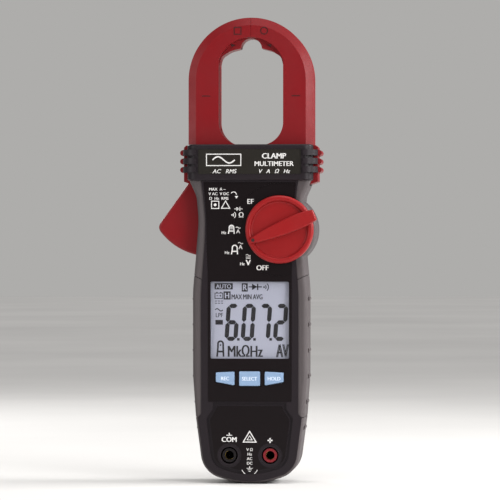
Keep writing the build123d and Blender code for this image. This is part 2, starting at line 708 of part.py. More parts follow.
def front_shell():
    """Front half of the casing with collar, window, dial, button and socket openings."""
    face = slab(FACE, BODY_FRONT, GRIP_FRONT + GRIP_LIP)
    shell = face + slab(SHELL_SIDE, GRIP_FRONT + GRIP_LIP, PARTING_Y)
    inner_face = BODY_FRONT + WALL
    shell -= shell_cavity(inner_face, GRIP_FRONT + GRIP_LIP + SIDE_WALL, PARTING_Y)
    rotor_room = ROTOR_R + ROTOR_CLEAR
    shell -= rod(DIAL_X, DIAL_Z, rotor_room, inner_face, PARTING_Y)
    plate, pocket = collar(True)
    shell += plate
    shell -= pocket
    shell -= jaw_passage()
    for x, z in boss_places():
        shell += boss(x, z, BOSS_R, True, PARTING_Y)
    shell += boss(PIVOT_X, PIVOT_Z, PIVOT_BOSS_R, True, -JAW_ROOM)
    for side in (-1, 1):
        shell += rod(side * JACK_X, JACK_Z, JACK_RING_R, BODY_FRONT, JACK_TUBE_FOOT)
    shell -= slab(panel_outline(), BODY_FRONT - 1, BODY_FRONT + PANEL_T)
    shell -= slab(window_outline(), -FAR, inner_face)
    for cap in button_outlines(BUTTON_CLEAR).values():
        shell -= slab(cap, -FAR, inner_face)
    shell -= rod(DIAL_X, DIAL_Z, DIAL_HUB_R + DIAL_HUB_CLEAR, -FAR, inner_face)
    for side in (-1, 1):
        shell -= rod(side * JACK_X, JACK_Z, MOAT_R, -FAR, PARTING_Y)
        shell += rod(side * JACK_X, JACK_Z, JACK_RING_R, BODY_FRONT - 0.25, BODY_FRONT) - rod(
            side * JACK_X, JACK_Z, JACK_RING_R - 0.4, -FAR, FAR
        )
    shell -= rod(PIVOT_X, PIVOT_Z, PIVOT_PIN_R, GRIP_FRONT + GRIP_LIP, PARTING_Y)
    for x, z in boss_places():
        shell -= rod(x, z, SCREW_R, SCREW_SEAT_Y - SCREW_REACH - 1, PARTING_Y)
    groove = shield_outline() - shield_outline(SHIELD_GROOVE)
    shell -= slab(groove, -FAR, BODY_FRONT + SHIELD_GROOVE_DEPTH)
    step = shield_outline(SHIELD_GROOVE) - shield_outline(SHIELD_GROOVE + SHIELD_STEP)
    shell -= slab(step, -FAR, BODY_FRONT + SHIELD_STEP_DEPTH)
    name_plate = block(-PLATE_HALF, PLATE_HALF, PLATE_FOOT, PLATE_TOP)
    shell -= slab(name_plate, -FAR, COLLAR_FRONT + PLATE_T)
    return shell


def bay_outline(grow=0.0):
    """Battery bay, seen from the rear."""
    return block(-BAY_HALF - grow, BAY_HALF + grow, BAY_TOP - BAY_LENGTH - grow, BAY_TOP + grow)


def cover_outline(grow=0.0):
    """Battery cover's plate."""
    foot = BAY_TOP - BAY_LENGTH - COVER_TONGUE
    half = COVER_HALF + grow
    return block(-half, half, foot - grow, BAY_TOP + COVER_LIP + grow, COVER_R)



def rear_shell():
    """Rear half of the casing with the collar, battery bay and screw bosses."""
    shell = slab(FACE, GRIP_REAR - GRIP_LIP, BODY_REAR)
    shell += slab(SHELL_SIDE, PARTING_Y, GRIP_REAR - GRIP_LIP)
    inner_face = BODY_REAR - WALL
    shell -= shell_cavity(inner_face, GRIP_REAR - GRIP_LIP - SIDE_WALL, PARTING_Y)
    plate, pocket = collar(False)
    shell += plate
    shell -= pocket
    shell -= jaw_passage()
    for x, z in boss_places():
        shell += boss(x, z, BOSS_R, False, PARTING_Y)
    shell += boss(PIVOT_X, PIVOT_Z, PIVOT_BOSS_R, False, JAW_ROOM)
    shell += slab(bay_outline(BAY_WALL), BAY_FLOOR_Y - BAY_WALL, inner_face)
    shell += slab(cover_outline(COVER_SEAT), COVER_INNER_Y - COVER_SEAT, inner_face)
    shell += rod(0, COVER_SCREW_Z, COVER_SCREW_HEAD_R, COVER_SCREW_REACH - 2, inner_face)
    shell -= slab(bay_outline(), BAY_FLOOR_Y, FAR)
    shell -= slab(cover_outline(COVER_CLEAR), COVER_INNER_Y, FAR)
    shell -= rod(0, COVER_SCREW_Z, COVER_SCREW_R + 0.1, COVER_SCREW_REACH - 1, FAR)
    shell -= rod(PIVOT_X, PIVOT_Z, PIVOT_PIN_R, PARTING_Y, GRIP_REAR - GRIP_LIP)
    for x, z in boss_places():
        shell -= rod(x, z, SCREW_R + 0.15, PARTING_Y, FAR)
        shell -= rod(x, z, BOSS_COUNTERBORE, SCREW_SEAT_Y, FAR)
    return shell


def grip_envelope():
    """Full casing with rounded outer edges, which the grips and rims are cut from."""
    blank = slab(BODY, GRIP_FRONT, GRIP_REAR)
    rims = blank.faces().sort_by(Axis.Y)
    edges = rims[0].edges() + rims[-1].edges()
    blank = rounded(blank, [e for e in edges if (e @ 0.5).Z < COLLAR_FOOT], GRIP_ROUND)
    blank -= slab(FACE, GRIP_FRONT - 1, GRIP_FRONT + GRIP_LIP)
    blank -= slab(SHELL_SIDE, GRIP_FRONT + GRIP_LIP, GRIP_REAR - GRIP_LIP)
    blank -= slab(FACE, GRIP_REAR - GRIP_LIP, GRIP_REAR + 1)
    for front in (True, False):
        plate, _ = collar(front)
        blank -= plate
    return blank - jaw_passage()


def side_nubs(side, z0, z1):
    """Short bars across one flank that stand a little proud, those between two heights."""
    nubs = []
    for row in range(NUB_COUNT):
        z = NUB_TOP_Z - row * NUB_PITCH
        if z0 < z < z1:
            at = side * (side_extent(z) - NUB_R + NUB_PROUD)
            bar = rod(at, z, NUB_R, -NUB_HALF_LENGTH, NUB_HALF_LENGTH)
            nubs.append(bar - slab(SHELL_SIDE, -FAR, FAR))
    return nubs


def below_seam(side, rise):
    """Everything on one side below the slanting seam between neck strip and side grip."""
    inner = DISPLAY_HALF - GRIP_FACE
    level = GRIP_SEAM_TOP + rise
    high = level + GRIP_SEAM_SLOPE * (FAR - inner)
    low = level - GRIP_SEAM_SLOPE * inner
    zone = make_face(Polyline((0, low), (FAR, high), (FAR, -3 * FAR), (0, -3 * FAR), close=True))
    return zone if side > 0 else mirror(zone, about=Plane.YZ)


def save_grips():
    """Soft trim: neck strips, ribbed side grips and the rim round the foot."""
    envelope = grip_envelope()
    foot = GRIP_SEAM_FOOT + GRIP_SEAM_GAP
    rim_zone = (-3 * FAR, GRIP_SEAM_FOOT - GRIP_SEAM_GAP)
    rim = envelope & box(-FAR, FAR, -FAR, FAR, *rim_zone)
    for side, word in ((-1, "left"), (1, "right")):
        half = envelope & side_of(side, 0) & box(-FAR, FAR, -FAR, FAR, foot, 0)
        save(f"{word}_neck_strip", half - slab(below_seam(side, GRIP_SEAM_GAP), -FAR, FAR))
        grip = half & slab(below_seam(side, -GRIP_SEAM_GAP), -FAR, FAR)
        for nub in side_nubs(side, foot, GRIP_SEAM_TOP):
            grip += nub
        save(f"{word}_side_grip", grip)
        for nub in side_nubs(side, *rim_zone):
            rim += nub
    save("foot_rim", rim)


def side_extent(z):
    """Half width of the casing at a height."""
    strip = BODY & block(0, FAR, z - 0.01, z + 0.01)
    return strip.bounding_box().max.X


def save_front_trim():
    """Dark panel, blank name plate and display window."""
    panel = panel_outline(0.1)
    panel -= window_outline()
    for cap in button_outlines(BUTTON_CLEAR).values():
        panel -= cap
    panel -= disc(DIAL_X, DIAL_Z, DIAL_HUB_R + DIAL_HUB_CLEAR)
    plate = slab(panel, BODY_FRONT, BODY_FRONT + PANEL_T)
    ring = disc(DIAL_X, DIAL_Z, DIAL_RING_R) - disc(DIAL_X, DIAL_Z, DIAL_RING_R - 0.35)
    save("front_panel", plate - slab(ring, -FAR, BODY_FRONT + 0.2))
    inset = block(-PLATE_HALF + 0.1, PLATE_HALF - 0.1, PLATE_FOOT + 0.1, PLATE_TOP - 0.1)
    save("name_plate", slab(inset, COLLAR_FRONT + 0.05, COLLAR_FRONT + PLATE_T))
    near = BODY_FRONT + LENS_SET_BACK
    save("display_lens", slab(window_outline(LENS_CLEAR), near, near + LENS_T))


# ---------------------------------------------------------------- display and board
def save_display():
    """LCD, the frame that locates it and the two conductive rubber strips."""
    near = BODY_FRONT + WALL + 0.1
    far = near + LCD_T
    half = WINDOW_HALF + LCD_MARGIN
    foot = WINDOW_FOOT - LCD_MARGIN
    top = WINDOW_TOP + LCD_MARGIN
    save("lcd_glass", slab(block(-half, half, foot, top), near, far))
    wall = LCD_FRAME_WALL
    outer = block(-half - wall, half + wall, foot - wall, top + wall, LCD_FRAME_R)
    inner = block(-half - 0.05, half + 0.05, foot - 0.05, top + 0.05)
    frame = slab(outer - inner, near, BOARD_FRONT)
    strips = None
    for z in (foot + 0.8, top - 0.8 - ZEBRA_W):
        strip = box(-half + 1, half - 1, far, BOARD_FRONT, z, z + ZEBRA_W)
        strips = strip if strips is None else strips + strip
    save("lcd_frame", frame)
    save("zebra_strips", strips)


def board_outline():
    """Main board: follows the casing's inside, clear of bosses, hub and socket tubes."""
    shape = body_outline(GRIP_T + SIDE_WALL + BOARD_EDGE)
    shape &= block(-FAR, FAR, -3 * FAR, BOARD_TOP)
    shape -= disc(PIVOT_X, PIVOT_Z, PIVOT_RELIEF_R + 0.4)
    for x, z in boss_places():
        shape -= disc(x, z, BOSS_R + 0.4)
    for side in (-1, 1):
        shape -= disc(side * JACK_X, JACK_Z, JACK_RING_R + 0.3)
    return shape


def save_board():
    """Main board and the larger parts soldered to its rear."""
    far = BOARD_FRONT + BOARD_T
    save("main_board", slab(board_outline(), BOARD_FRONT, far))
    chip = box(-8.0, 8.0, far, far + 1.6, -134.0, -118.0)
    save("control_chip", chamfer(chip.edges().filter_by(Axis.Y), 0.8))
    buzzer = rod(10.5, -167.0, 6.0, far, far + 3.2) - rod(10.5, -167.0, 1.0, far + 2.2, FAR)
    save("buzzer", buzzer)
    save("input_thermistor", fillet(rod(-9.5, -169.0, 4.2, far + 0.4, far + 4.0).edges(), 0.6))
    save("input_varistor", fillet(rod(0.4, -171.0, 4.0, far + 0.4, far + 3.8).edges(), 0.6))


def save_coil_leads():
    """Pair of leads from the winding, past the neck screw, to the board."""
    board_rear = BOARD_FRONT + BOARD_T
    leads = []
    for shift in (-1.2 * LEAD_R, 1.2 * LEAD_R):
        high_x = LEAD_HIGH_X + shift
        low_x = LEAD_LOW_X + shift
        points = [
            (high_x, LEAD_Y, LEAD_TOP_Z),
            (high_x, LEAD_Y, LEAD_BEND_Z),
            (low_x, LEAD_Y, LEAD_BEND_Z - 5.0),
            (low_x, LEAD_Y, LEAD_FOOT_Z),
            (low_x, board_rear + 0.05, LEAD_FOOT_Z),
        ]
        path = FilletPolyline(*points, radius=[2.0, 2.0, 3.0])
        section = Plane(origin=path @ 0, z_dir=path % 0) * Circle(LEAD_R)
        leads.append(sweep(section, path=path))
    save("coil_leads", Compound(children=leads))


# ---------------------------------------------------------------- dial
def bar_outline(shrink=0.0):
    """Grip bar, narrow at its pointer end and broad at the end that passes the rim."""
    upper = [
        (-DIAL_R + 0.6 + shrink, 0.6),
        (-DIAL_R + 3.0, 1.35 - shrink),
        (-4.0, 2.75 - shrink),
        (5.5, 3.45 - shrink),
        (12.5, 3.4 - shrink),
        (DIAL_R + 2.0 - shrink, 2.5 - shrink),
    ]
    lower = [(x, -z) for x, z in reversed(upper)]
    edges = Curve() + [
        Spline(*upper),
        Line(upper[-1], lower[0]),
        Spline(*lower),
        Line(lower[-1], upper[0]),
    ]
    outline = make_face(edges)
    broad_end = outline.vertices().sort_by(Axis.X)[-2:]
    return fillet(broad_end, DIAL_BAR_END_R)


def save_dial():
    """Rotary knob, its pointer dot, the switch rotor and the rotor's wipers."""
    at = Pos(DIAL_X, DIAL_Z)
    rear = BODY_FRONT - DIAL_LIFT
    near = rear - DIAL_SKIRT_T
    skirt = slab(disc(DIAL_X, DIAL_Z, DIAL_R), near, rear)
    skirt = fillet(skirt.faces().sort_by(Axis.Y)[0].edges(), DIAL_LIP_ROUND)
    dish_r = DIAL_R - DIAL_LIP
    dish = rod(DIAL_X, DIAL_Z, dish_r, near - 1, near + DIAL_FACE_DROP)
    skirt -= fillet(dish.faces().sort_by(Axis.Y)[-1].edges(), 0.5 * DIAL_FACE_DROP)
    lip = skirt.faces().sort_by(Axis.Y)[0].edges().sort_by(SortBy.RADIUS)[0]
    skirt = fillet(lip, 0.4 * DIAL_FACE_DROP)
    bar = at * (Rot(0, 0, DIAL_BAR_TILT) * bar_outline())
    bar_solid = slab(bar, DIAL_BAR_TOP, rear - 0.6)
    top = bar_solid.faces().sort_by(Axis.Y)[0].edges()
    bar_solid = rounded(bar_solid, top, DIAL_BAR_ROUND)
    knob = skirt + bar_solid
    inner_face = BODY_FRONT + WALL
    knob += rod(DIAL_X, DIAL_Z, DIAL_HUB_R, rear - 0.5, inner_face)
    angle = math.radians(180 + DIAL_BAR_TILT)
    dot_x = DIAL_X + DIAL_DOT_AT * math.cos(angle)
    dot_z = DIAL_Z + DIAL_DOT_AT * math.sin(angle)
    knob -= rod(dot_x, dot_z, DIAL_DOT_R, DIAL_BAR_TOP - 1, DIAL_BAR_TOP + 0.4)
    save("rotary_knob", knob)
    save("pointer_dot", rod(dot_x, dot_z, DIAL_DOT_R, DIAL_BAR_TOP + 0.05, DIAL_BAR_TOP + 0.4))
    rotor_near = inner_face + 0.15
    rotor = rod(DIAL_X, DIAL_Z, ROTOR_R, rotor_near, rotor_near + ROTOR_T)
    rotor += rod(DIAL_X, DIAL_Z, DIAL_HUB_R - 1.5, inner_face, rotor_near)
    save("switch_rotor", rotor)
    wiper_near = rotor_near + ROTOR_T
    wiper_far = BOARD_FRONT - 0.1
    wipers = []
    for turn in (90, 210, 330):
        arm = at * (Rot(0, 0, turn) * (Pos(7.5, 0) * Rectangle(6.0, 1.4)))
        wipers.append(slab(arm, wiper_near, wiper_far))
    save("switch_wipers", Compound(children=wipers))


# ---------------------------------------------------------------- buttons
def save_buttons():
    """Three key caps with retaining flanges, and the rubber mat behind them."""
    inner_face = BODY_FRONT + WALL
    flange_near = inner_face + 0.1
    flange_far = flange_near + BUTTON_FLANGE_T
    front = BODY_FRONT - BUTTON_PROUD
    flanges = button_outlines(BUTTON_FLANGE)
    for word, cap in button_outlines().items():
        key = slab(cap, front, flange_far)
        face = key.faces().sort_by(Axis.Y)[0].edges()
        key = fillet(face, 0.35)
        key += slab(flanges[word], flange_near, flange_far)
        save(f"{word}_button", key)
    mat_near = flange_far + BUTTON_TRAVEL + BUTTON_STOP
    mat = block(-17.5, 17.5, BUTTON_FOOT - 2.5, BUTTON_TOP + 1.8)
    save("keypad_mat", slab(mat, mat_near, BOARD_FRONT))


# ---------------------------------------------------------------- input sockets
def save_sockets():
    """Insulating posts, brass contacts and the straps that join them to the board."""
    for side, word in ((-1, "com"), (1, "input")):
        x = side * JACK_X
        post = rod(x, JACK_Z, POST_R, BODY_FRONT + 0.5, JACK_TUBE_FOOT - 1.5)
        post += rod(x, JACK_Z, MOAT_R - 0.05, JACK_TUBE_FOOT - 1.5, JACK_TUBE_FOOT)
        post -= rod(x, JACK_Z, MOUTH_R, -FAR, FAR)
        post -= rod(x, JACK_Z, CONTACT_R, SOCKET_FRONT, FAR)
        save(f"{word}_socket_post", post)
        contact = rod(x, JACK_Z, CONTACT_R, SOCKET_FRONT, SOCKET_FRONT + SOCKET_LENGTH)
        contact -= rod(x, JACK_Z, SOCKET_R, -FAR, FAR)
        save(f"{word}_socket_contact", contact)
        tail = SOCKET_FRONT + SOCKET_LENGTH
        x0, x1 = x - STRAP_HALF, x + STRAP_HALF
        end = JACK_Z + STRAP_LENGTH
        lug = disc(x, JACK_Z, CONTACT_R + 1.2) + block(x0, x1, JACK_Z, end)
        strap = slab(lug, tail, tail + STRAP_T) - rod(x, JACK_Z, SOCKET_R, -FAR, FAR)
        strap += box(x0, x1, BOARD_FRONT + BOARD_T, tail + STRAP_T, end - STRAP_T, end)
        save(f"{word}_socket_strap", strap)


# ---------------------------------------------------------------- batteries
def cell(x, up):
    """One battery cell with its raised terminal up or down."""
    low = BAY_TOP - BAY_LENGTH / 2 - CELL_LENGTH / 2
    high = low + CELL_LENGTH
    body = extrude(Plane.XY.offset(low) * Pos(x, CELL_Y) * Circle(CELL_R), amount=CELL_LENGTH)
    ends = body.edges().filter_by(GeomType.CIRCLE)
    body = fillet(ends, 0.5)
    z = high if up else low - CELL_NUB
    nub = extrude(Plane.XY.offset(z) * Pos(x, CELL_Y) * Circle(CELL_NUB_R), amount=CELL_NUB)
    return body + nub


def save_batteries():
    """Two cells, end contacts and springs."""
    save("battery_left", cell(-CELL_X, True))
    save("battery_right", cell(CELL_X, False))
    low = BAY_TOP - BAY_LENGTH
    plate_t = 0.4
    y0, y1 = CELL_Y - 4.0, CELL_Y + 4.0
    half = 4.2
    save("positive_contact", box(-CELL_X - half, -CELL_X + half, y0, y1, BAY_TOP - plate_t, BAY_TOP))
    save("negative_contact", box(CELL_X - half, CELL_X + half, y0, y1, BAY_TOP - plate_t, BAY_TOP))
    save("bridge_contact", box(-CELL_X - half, CELL_X + half, y0, y1, low, low + plate_t))
    cell_low = BAY_TOP - BAY_LENGTH / 2 - CELL_LENGTH / 2
    cell_high = cell_low + CELL_LENGTH
    wire = 0.35
    spots = (
        (CELL_X, cell_high + wire + 0.02, BAY_TOP - plate_t - wire - 0.02),
        (-CELL_X, low + plate_t + wire + 0.02, cell_low - wire - 0.02),
    )
    coils = []
    for x, z0, z1 in spots:
        height = z1 - z0
        path = Helix(pitch=height / 3, height=height, radius=3.0)
        section = Plane(origin=path @ 0, z_dir=path % 0) * Circle(wire)
        coils.append(Pos(x, CELL_Y, z0) * sweep(section, path=path))
    save("battery_springs", Compound(children=coils))


def save_cover():
    """Battery cover with its locating lip and finger ribs, and the slotted screw that holds it."""
    cover = slab(cover_outline(), COVER_INNER_Y + 0.1, BODY_REAR)
    face = cover.faces().sort_by(Axis.Y)[-1].edges()
    cover = fillet(face, 0.6)
    lip_gap = 0.3
    lip = bay_outline(-lip_gap) - bay_outline(-lip_gap - 1.0)
    lip_solid = slab(lip, COVER_INNER_Y - 1.2, COVER_INNER_Y + 0.2)
    cover += lip_solid
    for row in range(5):
        z = BAY_TOP - 4.0 - row * 2.2
        cover -= box(-9.0, 9.0, BODY_REAR - 0.5, FAR, z - 0.5, z + 0.5)
    cover -= rod(0, COVER_SCREW_Z, COVER_SCREW_R + 0.3, -FAR, FAR)
    seat = BODY_REAR - 1.5
    cover -= rod(0, COVER_SCREW_Z, COVER_SCREW_HEAD_R + 0.25, seat, FAR)
    save("battery_cover", cover)
    screw = rod(0, COVER_SCREW_Z, COVER_SCREW_HEAD_R, seat + 0.02, BODY_REAR - 0.1)
    screw += rod(0, COVER_SCREW_Z, COVER_SCREW_R, COVER_SCREW_REACH, seat + 0.02)
    slot = box(-FAR, FAR, BODY_REAR - 0.8, FAR, COVER_SCREW_Z - 0.5, COVER_SCREW_Z + 0.5)
    save("battery_cover_screw", screw - slot)


def save_case_screws():
    """Self-tapping screws that hold the casing halves together."""
    screws = []
    for x, z in boss_places():
        screw = rod(x, z, SCREW_HEAD_R, SCREW_SEAT_Y, SCREW_SEAT_Y + SCREW_HEAD_T)
        screw += rod(x, z, SCREW_R, SCREW_SEAT_Y - SCREW_REACH, SCREW_SEAT_Y)
        top = SCREW_SEAT_Y + SCREW_HEAD_T
        for dx, dz in ((1.6, 0.4), (0.4, 1.6)):
            screw -= box(x - dx, x + dx, top - 0.9, top + 1, z - dz, z + dz)
        screws.append(screw)
    save("case_screws", Compound(children=screws))


# ---------------------------------------------------------------- build
save_jaw("moving_jaw", moving_jaw())
save_jaw("fixed_jaw", fixed_jaw())
save_winding()
save_pivot()
save("front_shell", front_shell())
save("rear_shell", rear_shell())
save_grips()
save_front_trim()
save_display()
save_board()
save_coil_leads()
save_dial()
save_buttons()
save_sockets()
save_batteries()
save_cover()
save_case_screws()
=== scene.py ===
"""Looks of a hand-held clamp meter: finishes for its moulded, rubber, metal and printed pieces, the
printing on its faces, its display segments, and a plain studio to show it in.

Lengths in this file are millimetres in the frame of the model (X right, -Y towards the user, Z up
towards the jaw tips) until they are handed to Blender, which works in metres.
"""
from __future__ import annotations

import json
import logging
import math
from dataclasses import dataclass
from enum import Enum
from typing import Any, Iterable, Sequence

import bmesh
import bpy
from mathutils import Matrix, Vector

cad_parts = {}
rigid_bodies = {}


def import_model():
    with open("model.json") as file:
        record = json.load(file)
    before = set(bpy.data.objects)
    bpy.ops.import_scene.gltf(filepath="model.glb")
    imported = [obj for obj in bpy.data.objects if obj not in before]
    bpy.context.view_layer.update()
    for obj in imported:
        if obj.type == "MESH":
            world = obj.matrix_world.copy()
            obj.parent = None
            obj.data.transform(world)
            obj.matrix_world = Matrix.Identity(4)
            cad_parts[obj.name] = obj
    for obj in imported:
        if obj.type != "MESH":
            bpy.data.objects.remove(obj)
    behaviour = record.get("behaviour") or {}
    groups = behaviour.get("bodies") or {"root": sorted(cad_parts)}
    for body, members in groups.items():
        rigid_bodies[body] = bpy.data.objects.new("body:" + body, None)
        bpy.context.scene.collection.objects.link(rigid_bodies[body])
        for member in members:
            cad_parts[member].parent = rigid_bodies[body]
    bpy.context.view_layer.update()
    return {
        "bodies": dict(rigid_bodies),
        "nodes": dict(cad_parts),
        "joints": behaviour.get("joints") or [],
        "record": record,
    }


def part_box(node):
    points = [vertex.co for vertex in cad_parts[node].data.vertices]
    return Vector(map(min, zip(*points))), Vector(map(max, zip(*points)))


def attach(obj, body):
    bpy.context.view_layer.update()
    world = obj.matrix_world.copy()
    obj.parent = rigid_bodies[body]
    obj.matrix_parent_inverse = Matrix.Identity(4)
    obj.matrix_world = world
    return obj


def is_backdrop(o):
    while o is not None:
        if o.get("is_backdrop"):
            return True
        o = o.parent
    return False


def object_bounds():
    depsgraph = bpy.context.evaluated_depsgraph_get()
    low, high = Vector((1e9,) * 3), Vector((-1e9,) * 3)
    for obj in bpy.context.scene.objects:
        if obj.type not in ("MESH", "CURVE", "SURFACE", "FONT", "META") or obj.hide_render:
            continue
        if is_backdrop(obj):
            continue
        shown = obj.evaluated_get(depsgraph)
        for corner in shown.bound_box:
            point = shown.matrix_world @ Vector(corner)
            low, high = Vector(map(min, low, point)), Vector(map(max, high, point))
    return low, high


logging.basicConfig(level=logging.INFO, format="%(message)s")
LOG = logging.getLogger("clamp_meter")

MM = 0.001
PRINT_GAP = 0.002           # mm between a surface and the layer printed on it
Point = tuple[float, float]
Place = tuple[float, float, float]


# ------------------------------------------------------------------ colour and node helpers
def linear(hex_colour: str, alpha: float = 1.0) -> tuple[float, float, float, float]:
    """Turn an sRGB hex colour into Blender's linear values.

    Args:
        hex_colour: Six hex digits, such as "8B1A20".
        alpha: Opacity.

    Returns:
        Linear red, green, blue and alpha.
    """
    values = []
    for start in (0, 2, 4):
        c = int(hex_colour[start : start + 2], 16) / 255
        values.append(c / 12.92 if c <= 0.04045 else ((c + 0.055) / 1.055) ** 2.4)
    return values[0], values[1], values[2], alpha


def add_node(
    tree: bpy.types.NodeTree,
    kind: str,
    settings: dict[int | str, Any] | None = None,
    links: dict[int | str, bpy.types.NodeSocket] | None = None,
) -> bpy.types.Node:
    """Add a node, set its properties and sockets, and link what feeds it.

    Args:
        tree: Node tree that takes the node.
        kind: Blender's node type name.
        settings: Values by input socket's name or index or, where there is none, by property.
        links: Output sockets by the name or index of the input they feed.

    Returns:
        The new node.
    """
    node = tree.nodes.new(kind)
    for name, value in (settings or {}).items():
        if isinstance(name, int) or name in node.inputs:
            node.inputs[name].default_value = value
        else:
            setattr(node, name, value)
    for name, socket in (links or {}).items():
        tree.links.new(socket, node.inputs[name])
    return node


def fresh_material(name: str) -> tuple[bpy.types.Material, bpy.types.NodeTree]:
    """Make an empty node material.

    Args:
        name: Name of the material.

    Returns:
        The material and its node tree.
    """
    material = bpy.data.materials.new(name)
    material.use_nodes = True
    material.node_tree.nodes.clear()
    return material, material.node_tree


def per_metre(size_mm: float) -> float:
    """Scale of a noise or wave texture whose pattern repeats about every size_mm."""
    return 1.0 / (size_mm * MM)


def noise(
    tree: bpy.types.NodeTree,
    size_mm: float,
    detail: float,
    where: bpy.types.NodeSocket,
    roughness: float = 0.5,
) -> bpy.types.NodeSocket:
    """Add a noise texture.

    Args:
        tree: Node tree that takes it.
        size_mm: Size of its pattern.
        detail: Number of finer layers.
        where: Place that it is read at.
        roughness: Weight of the finer layers.

    Returns:
        The socket of its value.
    """
    settings = {"Scale": per_metre(size_mm), "Detail": detail, "Roughness": roughness}
    return add_node(tree, "ShaderNodeTexNoise", settings, {"Vector": where}).outputs["Fac"]


def show(tree: bpy.types.NodeTree, shader: bpy.types.NodeSocket) -> None:
    """Show a shader on the material's surface."""
    add_node(tree, "ShaderNodeOutputMaterial", None, {"Surface": shader})


# ------------------------------------------------------------------ finishes
@dataclass(frozen=True)
class Moulded:
    """Injection-moulded plastic or rubber with a spark-eroded or soft-touch surface.

    The two noises give the eye the fine tool texture that breaks up highlights, and the slow
    change of tone and gloss that handling leaves.
    """

    name: str
    colour: str
    tone: str
    roughness: float
    ior: float = 1.53
    grain_mm: float = 0.35
    grain_depth_mm: float = 0.012
    drift_mm: float = 14.0
    gloss_swing: float = 0.08
    specular: float = 0.5
    coat: float = 0.0

    def build(self) -> bpy.types.Material:
        """Make the material.

        Returns:
            The finished material.
        """
        material, tree = fresh_material(self.name)
        where = add_node(tree, "ShaderNodeTexCoord").outputs["Object"]
        drift = noise(tree, self.drift_mm, 4.0, where, 0.55)
        grain = noise(tree, self.grain_mm, 3.0, where, 0.6)
        tone = add_node(
            tree,
            "ShaderNodeMix",
            {"data_type": "RGBA", 6: linear(self.colour), 7: linear(self.tone)},
            {0: drift},
        )
        gloss = add_node(
            tree,
            "ShaderNodeMapRange",
            {
                "From Min": 0.3,
                "From Max": 0.7,
                "To Min": self.roughness - self.gloss_swing,
                "To Max": self.roughness + self.gloss_swing,
            },
            {"Value": drift},
        )
        bump = add_node(
            tree,
            "ShaderNodeBump",
            {"Strength": 0.6, "Distance": self.grain_depth_mm * MM},
            {"Height": grain},
        )
        shader = add_node(
            tree,
            "ShaderNodeBsdfPrincipled",
            {
                "IOR": self.ior,
                "Specular IOR Level": self.specular,
                "Coat Weight": self.coat,
                "Coat Roughness": 0.25,
            },
            {
                "Base Color": tone.outputs[2],
                "Roughness": gloss.outputs["Result"],
                "Normal": bump.outputs["Normal"],
            },
        )
        show(tree, shader.outputs["BSDF"])
        return material


@dataclass(frozen=True)
class Metal:
    """Bare or plated metal: brushed, turned or rolled, with fine directional scratches."""

    name: str
    colour: str
    roughness: float
    scratch_mm: float = 0.25
    scratch_depth_mm: float = 0.006
    stretch: tuple[float, float, float] = (1.0, 12.0, 1.0)

    def build(self) -> bpy.types.Material:
        """Make the material.

        Returns:
            The finished material.
        """
        material, tree = fresh_material(self.name)
        where = add_node(tree, "ShaderNodeTexCoord").outputs["Object"]
        drawn = add_node(
            tree,
            "ShaderNodeMapping",
            {"Scale": tuple(1 / s for s in self.stretch)},
            {"Vector": where},
        )
        scratches = noise(tree, self.scratch_mm, 2.0, drawn.outputs["Vector"])
        gloss = add_node(
            tree,
            "ShaderNodeMapRange",
            {"To Min": self.roughness - 0.08, "To Max": self.roughness + 0.1},
            {"Value": scratches},
        )
        bump = add_node(
            tree,
            "ShaderNodeBump",
            {"Strength": 0.5, "Distance": self.scratch_depth_mm * MM},
            {"Height": scratches},
        )
        shader = add_node(
            tree,
            "ShaderNodeBsdfPrincipled",
            {"Base Color": linear(self.colour), "Metallic": 1.0},
            {"Roughness": gloss.outputs["Result"], "Normal": bump.outputs["Normal"]},
        )
        show(tree, shader.outputs["BSDF"])
        return material


@dataclass(frozen=True)
class Laminated:
    """Stack of electrical-steel sheets, 0.35 mm thick, seen edge-on as fine lines."""

    name: str
    colour: str
    gap_colour: str
    sheet_mm: float = 0.7
    bands_per_unit: float = 3.14        # bands of a wave texture in one unit, at scale 1

    def build(self) -> bpy.types.Material:
        """Make the material; the sheets are drawn twice as thick as real ones so that they show.

        Returns:
            The finished material.
        """
        material, tree = fresh_material(self.name)
        where = add_node(tree, "ShaderNodeTexCoord").outputs["Object"]
        scale = per_metre(self.sheet_mm) / self.bands_per_unit
        sheets = add_node(
            tree,
            "ShaderNodeTexWave",
            {"bands_direction": "Y", "Scale": scale, "Distortion": 0.2},
            {"Vector": where},
        )
        ramp = add_node(
            tree,
            "ShaderNodeMapRange",
            {"From Min": 0.1, "From Max": 0.35},
            {"Value": sheets.outputs["Fac"]},
        )
        colour = add_node(
            tree,
            "ShaderNodeMix",
            {"data_type": "RGBA", 6: linear(self.gap_colour), 7: linear(self.colour)},
            {0: ramp.outputs["Result"]},
        )
        shader = add_node(
            tree,
            "ShaderNodeBsdfPrincipled",
            {"Metallic": 1.0, "Roughness": 0.4},
            {"Base Color": colour.outputs[2]},
        )
        show(tree, shader.outputs["BSDF"])
        return material


